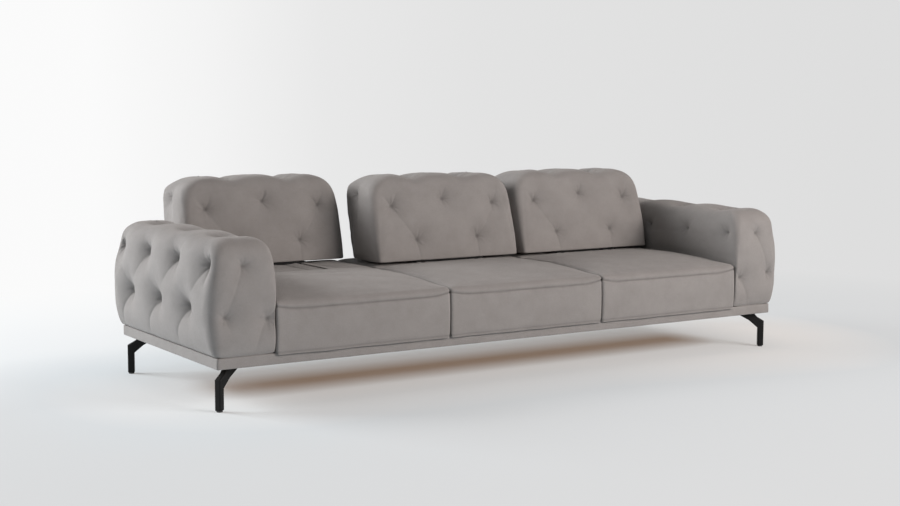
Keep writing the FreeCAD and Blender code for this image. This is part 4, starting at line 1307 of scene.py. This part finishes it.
def stitch_tree():
    """Node tree that sews a row of stitches along a line of edges."""
    tree = bpy.data.node_groups.new("sewn_row", "GeometryNodeTree")
    for name, kind in (("Geometry", "Geometry"), ("Stitch length", "Float"), ("Stitch gap", "Float"),
                       ("Thread radius", "Float"), ("Thread", "Material")):
        tree.interface.new_socket(name, in_out="INPUT", socket_type="NodeSocket" + kind)
    tree.interface.new_socket("Geometry", in_out="OUTPUT", socket_type="NodeSocketGeometry")
    given = add_node(tree, "NodeGroupInput").outputs
    line = add_node(tree, "GeometryNodeMeshToCurve", {"Mesh": given["Geometry"]})
    pitch = add_math(tree, "ADD", given["Stitch length"], given["Stitch gap"])
    dots = add_node(tree, "GeometryNodeCurveToPoints",
                    {"Curve": line.outputs["Curve"], "Length": pitch}, mode="LENGTH")
    radius = given["Thread radius"]
    half = add_math(tree, "MULTIPLY", given["Stitch length"], 0.5)
    shape = add_node(tree, "ShaderNodeCombineXYZ", {"X": radius, "Y": radius, "Z": half})
    bead = add_node(tree, "GeometryNodeMeshUVSphere", {"Segments": 6, "Rings": 4, "Radius": 1.0})
    turn = add_node(tree, "FunctionNodeAlignRotationToVector",
                    {"Vector": dots.outputs["Tangent"]}, axis="Z")
    sewn = add_node(tree, "GeometryNodeInstanceOnPoints", {
        "Points": dots.outputs["Points"], "Instance": bead.outputs["Mesh"],
        "Rotation": turn.outputs["Rotation"], "Scale": shape.outputs["Vector"]})
    real = add_node(tree, "GeometryNodeRealizeInstances", {"Geometry": sewn.outputs["Instances"]})
    paint = add_node(tree, "GeometryNodeSetMaterial",
                     {"Geometry": real.outputs["Geometry"], "Material": given["Thread"]})
    add_node(tree, "NodeGroupOutput", {"Geometry": paint.outputs["Geometry"]})
    return tree


def sew_rows(name, rows, body):
    """One piece that holds the stitches along every row of points."""
    points, edges = [], []
    for row in rows:
        edges += [(len(points) + i, len(points) + i + 1) for i in range(len(row) - 1)]
        points += [tuple(p) for p in row]
    obj = new_mesh_object(name, points, (), edges)
    tree = bpy.data.node_groups.get("sewn_row") or stitch_tree()
    nodes = obj.modifiers.new("sewing", "NODES")
    nodes.node_group = tree
    values = {"Stitch length": sizes().stitch_length, "Stitch gap": sizes().stitch_gap,
              "Thread radius": THREAD_RADIUS, "Thread": finish("thread")}
    for socket in tree.interface.items_tree:
        if socket.in_out == "INPUT" and socket.name in values:
            nodes[socket.identifier] = values[socket.name]
    bake_modifiers(obj)
    return place_piece(obj, body, "upholstery", material="thread")


def lay_on(tree, places):
    """Places moved to the nearest spots of a skin, where a thread lies on it."""
    found = [tree.find_nearest(Vector(place)) for place in places]
    return [spot + normal * THREAD_LIFT for spot, normal, _, _ in found]


class SOFA_OT_stitching(bpy.types.Operator):
    """Sew the top seam of each seat and the seams of the rear cover"""

    bl_idname = "sofa.stitching"
    bl_label = "Stitching"

    def execute(self, context):
        rows = []
        for centre, side in zip(SEAT_X, SIDES):
            loop = outline(centre - SEAT_HALF - 0.01, centre + SEAT_HALF + 0.01,
                           FRONT + SEAT_FRONT - 0.01, FRONT + SEAT_REAR + 0.01, 0.02, 0.02, 180, 140, 4)
            places = []
            for i in range(-240, 240):
                x, y = loop[i % len(loop)]
                if y <= FRONT + 0.56:
                    lift = ear_lift(np.array([[x - centre, y, 0.0]]))[0]
                    places.append((x, y, SEAM_Z + STITCH_ABOVE_SEAM + lift))
            rows.append(lay_on(skin_tree(bpy.data.objects["seat_cushion_soft_" + side]), places))
        low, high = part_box("rear_cover")
        tree = skin_tree(bpy.data.objects["rear_cover_soft"])
        for x in REAR_SEAMS:
            for aside in (-STITCH_BESIDE_SEAM, STITCH_BESIDE_SEAM):
                rows.append(lay_on(tree, [(x + aside, high.y + 0.01, z)
                                          for z in np.linspace(low.z + 0.008, high.z - 0.008, 40)]))
        sew_rows("stitching", rows, "base")
        return {"FINISHED"}


# Frame


class SOFA_OT_finishes(bpy.types.Operator):
    """Give the frame, legs, springs and slides their finishes"""

    bl_idname = "sofa.finishes"
    bl_label = "Frame finishes"

    def execute(self, context):
        slots = {row["node"]: row["material_slot"] for row in frame["record"]["subparts"]}
        for name, node in frame["nodes"].items():
            painted = name.startswith("slide_") and "screws" not in name
            node.data.materials.clear()
            node.data.materials.append(finish("slide_paint" if painted else slots[name]))
        return {"FINISHED"}


# Stage


CAMERA_PLACE = (-3.511, FRONT - 4.834, 1.148)
CAMERA_YAW = 32.93
CAMERA_PITCH = 6.10
CAMERA_ROLL = 0.22
CAMERA_LENS = 58.69
FLOOR_REACH = 40.0

# Tones of the studio wall along its length, painted lighter towards the window side, and the floor's glow:
# painted warm-brown shadow under the sofa, painted warm light near it, and plain pale floor beside it
WALL_LIGHT_TONES = ((0.33, 0.96), (0.40, 0.90), (0.47, 0.81), (0.56, 0.765), (0.75, 0.73))
PAINTED_SHADOW_UNDER = (0.55, 0.36, 0.24)
PAINTED_LIGHT_NEAR = (1.0, 0.91, 0.85)
GLOW_BESIDE = (0.72, 0.715, 0.715)


def add_light(name, place, target, width, height, power, colour):
    lamp = bpy.data.lights.new(name, "AREA")
    lamp.shape = "RECTANGLE"
    lamp.size, lamp.size_y = width, height
    lamp.energy = power
    lamp.color = colour
    obj = bpy.data.objects.new(name, lamp)
    obj.location = place
    obj.rotation_euler = (Vector(target) - Vector(place)).to_track_quat("-Z", "Y").to_euler()
    bpy.context.scene.collection.objects.link(obj)


def wall_light_tone(tree, ray):
    """The studio wall's pale tone along a direction, with painted light that makes it lighter towards the
    window side.
    """
    parts = add_node(tree, "ShaderNodeSeparateXYZ", {"Vector": ray})
    ramp = add_node(tree, "ShaderNodeValToRGB", {"Fac": parts.outputs["X"]})
    stops = ramp.color_ramp.elements
    for spot, _ in WALL_LIGHT_TONES[2:]:
        stops.new(spot)
    for stop, (spot, grey) in zip(stops, WALL_LIGHT_TONES):
        stop.position = spot
        stop.color = (grey, grey, grey, 1.0)
    return ramp.outputs["Color"]


def distance_beside(tree, place, middle, half_length, half_depth):
    """Distance of a place on the floor from a rectangle below the sofa."""
    offset = add_vector(tree, "ABSOLUTE", add_vector(tree, "SUBTRACT", place, (0.0, middle, 0.0)))
    beyond = add_vector(tree, "SUBTRACT", offset, (half_length, half_depth, 0.0))
    return add_vector(tree, "LENGTH", add_vector(tree, "MAXIMUM", beyond, (0.0, 0.0, 0.0)))


class SOFA_OT_stage(bpy.types.Operator):
    """Make the floor, the lights and the camera"""

    bl_idname = "sofa.stage"
    bl_label = "Stage"

    def execute(self, context):
        scene = context.scene
        scene.view_settings.view_transform = "Standard"
        self.camera(scene)
        self.floor()
        self.world(scene)
        add_light("rear_window", (-6.0, 4.8, 3.3), (-0.3, 0.0, 0.4), 4.6, 3.2, 800.0, (1.0, 1.0, 1.0))
        add_light("front_fill", (3.4, -6.2, 3.4), (0.0, 0.0, 0.45), 4.0, 3.0, 480.0, (1.0, 0.92, 0.875))
        return {"FINISHED"}

    def camera(self, scene):
        lens = bpy.data.cameras.new("photo_camera")
        lens.lens = CAMERA_LENS
        lens.sensor_width = 36.0
        lens.clip_end = 200.0
        obj = bpy.data.objects.new("photo_camera", lens)
        yaw, pitch, roll = (math.radians(a) for a in (CAMERA_YAW, CAMERA_PITCH, CAMERA_ROLL))
        ahead = Vector((math.sin(yaw) * math.cos(pitch), math.cos(yaw) * math.cos(pitch), -math.sin(pitch)))
        right = Vector((math.cos(yaw), -math.sin(yaw), 0.0))
        up = right.cross(ahead)
        across = math.cos(roll) * right + math.sin(roll) * up
        upright = math.cos(roll) * up - math.sin(roll) * right
        turn = Matrix((across, upright, -ahead)).transposed().to_4x4()
        obj.matrix_world = Matrix.Translation(CAMERA_PLACE) @ turn
        scene.collection.objects.link(obj)
        scene.camera = obj

    def floor(self):
        """A pale floor that keeps the sofa's shadow, with a painted warm-brown shadow under the sofa and
        painted warm light near it, and that fades into the wall's painted light.
        """
        far, near = FLOOR_REACH, -FLOOR_REACH
        plane = new_mesh_object("studio_floor", [(near, near, 0), (far, near, 0), (far, far, 0),
                                                 (near, far, 0)], [(0, 1, 2, 3)])
        material, tree, shader, place = new_material("studio_floor")
        base = colours().floor
        set_inputs(tree, shader, {
            "Base Color": add_mix(tree, add_noise(tree, place, 2.0), base, scaled(base, 0.97)),
            "Roughness": 0.8, "Specular IOR Level": 0.1})
        away = distance_beside(tree, place, (FRONT + REAR) / 2, END, (REAR - FRONT) / 2)
        blend = add_math(tree, "ADD", add_range(tree, away, 0.34, 0.72, 0.0, 0.7),
                         add_range(tree, away, 0.0, 0.28, 0.7, 2.6))
        blend = add_math(tree, "MULTIPLY", blend, seen_by(tree, "Is Camera Ray", "Is Glossy Ray"))
        parts = add_node(tree, "ShaderNodeSeparateXYZ", {"Vector": place})
        # Painted shadow: a warm-brown glow in a band under the sofa, turning to painted warm light in front
        # of it and to the plain pale floor beside it, and ending sooner towards the right end.
        under = distance_beside(tree, place, FRONT + 0.40, END - 0.25, 0.03)
        painted_shadow_shift = add_range(tree, parts.outputs["X"], 0.0, 0.3, 0.2, 1.4)
        beside = add_range(tree, add_math(tree, "SUBTRACT", under, painted_shadow_shift), 0.0, 1.0, 0.25, 0.75)
        # Further back, the floor takes the wall's painted light.
        behind = add_range(tree, parts.outputs["Y"], 0.0, 1.0, FRONT + 0.45, FRONT + 1.5)
        at_wall = add_math(tree, "MAXIMUM", add_range(tree, away, 0.0, 1.0, 1.4, 4.5), behind)
        ray = add_vector(tree, "NORMALIZE", add_vector(tree, "SUBTRACT", place, CAMERA_PLACE))
        colour = add_mix(tree, add_range(tree, under, 0.0, 1.0, 0.0, 0.20), PAINTED_SHADOW_UNDER, PAINTED_LIGHT_NEAR)
        colour = add_mix(tree, beside, colour, GLOW_BESIDE)
        colour = add_mix(tree, at_wall, colour, wall_light_tone(tree, ray))
        glow = add_node(tree, "ShaderNodeEmission", {"Color": colour})
        mix_surfaces(tree, "Material Output", blend, shader.outputs["BSDF"], glow.outputs["Emission"])
        plane.data.materials.append(material)

    def world(self, scene):
        world = bpy.data.worlds.new("studio")
        world.use_nodes = True
        tree = world.node_tree
        back = tree.nodes["Background"]
        set_inputs(tree, back, {"Color": (0.97, 0.985, 1.0, 1.0), "Strength": 0.18})
        ray = add_node(tree, "ShaderNodeTexCoord").outputs["Generated"]
        # The backdrop seen by the camera, with painted light that is lighter towards the window side.
        plain = add_node(tree, "ShaderNodeBackground", {"Color": wall_light_tone(tree, ray)})
        seen = seen_by(tree, "Is Camera Ray", "Is Glossy Ray", "Is Transmission Ray")
        mix_surfaces(tree, "World Output", seen, back.outputs["Background"], plain.outputs["Background"])
        scene.world = world


class SOFA_PT_panel(bpy.types.Panel):
    """Sizes, colours and steps of the sofa"""

    bl_idname = "SOFA_PT_panel"
    bl_label = "Sofa"
    bl_space_type = "VIEW_3D"
    bl_region_type = "UI"
    bl_category = "Sofa"

    def draw(self, context):
        layout = self.layout
        for group in (context.scene.sofa_sizes, context.scene.sofa_colours):
            box = layout.box()
            for name in group.bl_rna.properties.keys():
                if name not in ("rna_type", "name"):
                    box.prop(group, name)
        for step in STEPS:
            layout.operator(step.bl_idname)


STEPS = (
    SOFA_OT_stage,
    SOFA_OT_finishes,
    SOFA_OT_plinth,
    SOFA_OT_arms,
    SOFA_OT_seats,
    SOFA_OT_backs,
    SOFA_OT_deck,
    SOFA_OT_dust_cover,
    SOFA_OT_stitching,
)
CLASSES = (SofaSizes, SofaColours, *STEPS, SOFA_PT_panel)


def register():
    for item in CLASSES:
        bpy.utils.register_class(item)
    bpy.types.Scene.sofa_sizes = PointerProperty(type=SofaSizes)
    bpy.types.Scene.sofa_colours = PointerProperty(type=SofaColours)


def unregister():
    del bpy.types.Scene.sofa_colours
    del bpy.types.Scene.sofa_sizes
    for item in reversed(CLASSES):
        bpy.utils.unregister_class(item)


def main():
    register()
    for step in STEPS:
        group, name = step.bl_idname.split(".")
        getattr(getattr(bpy.ops, group), name)()


if __name__ == "__main__":
    main()
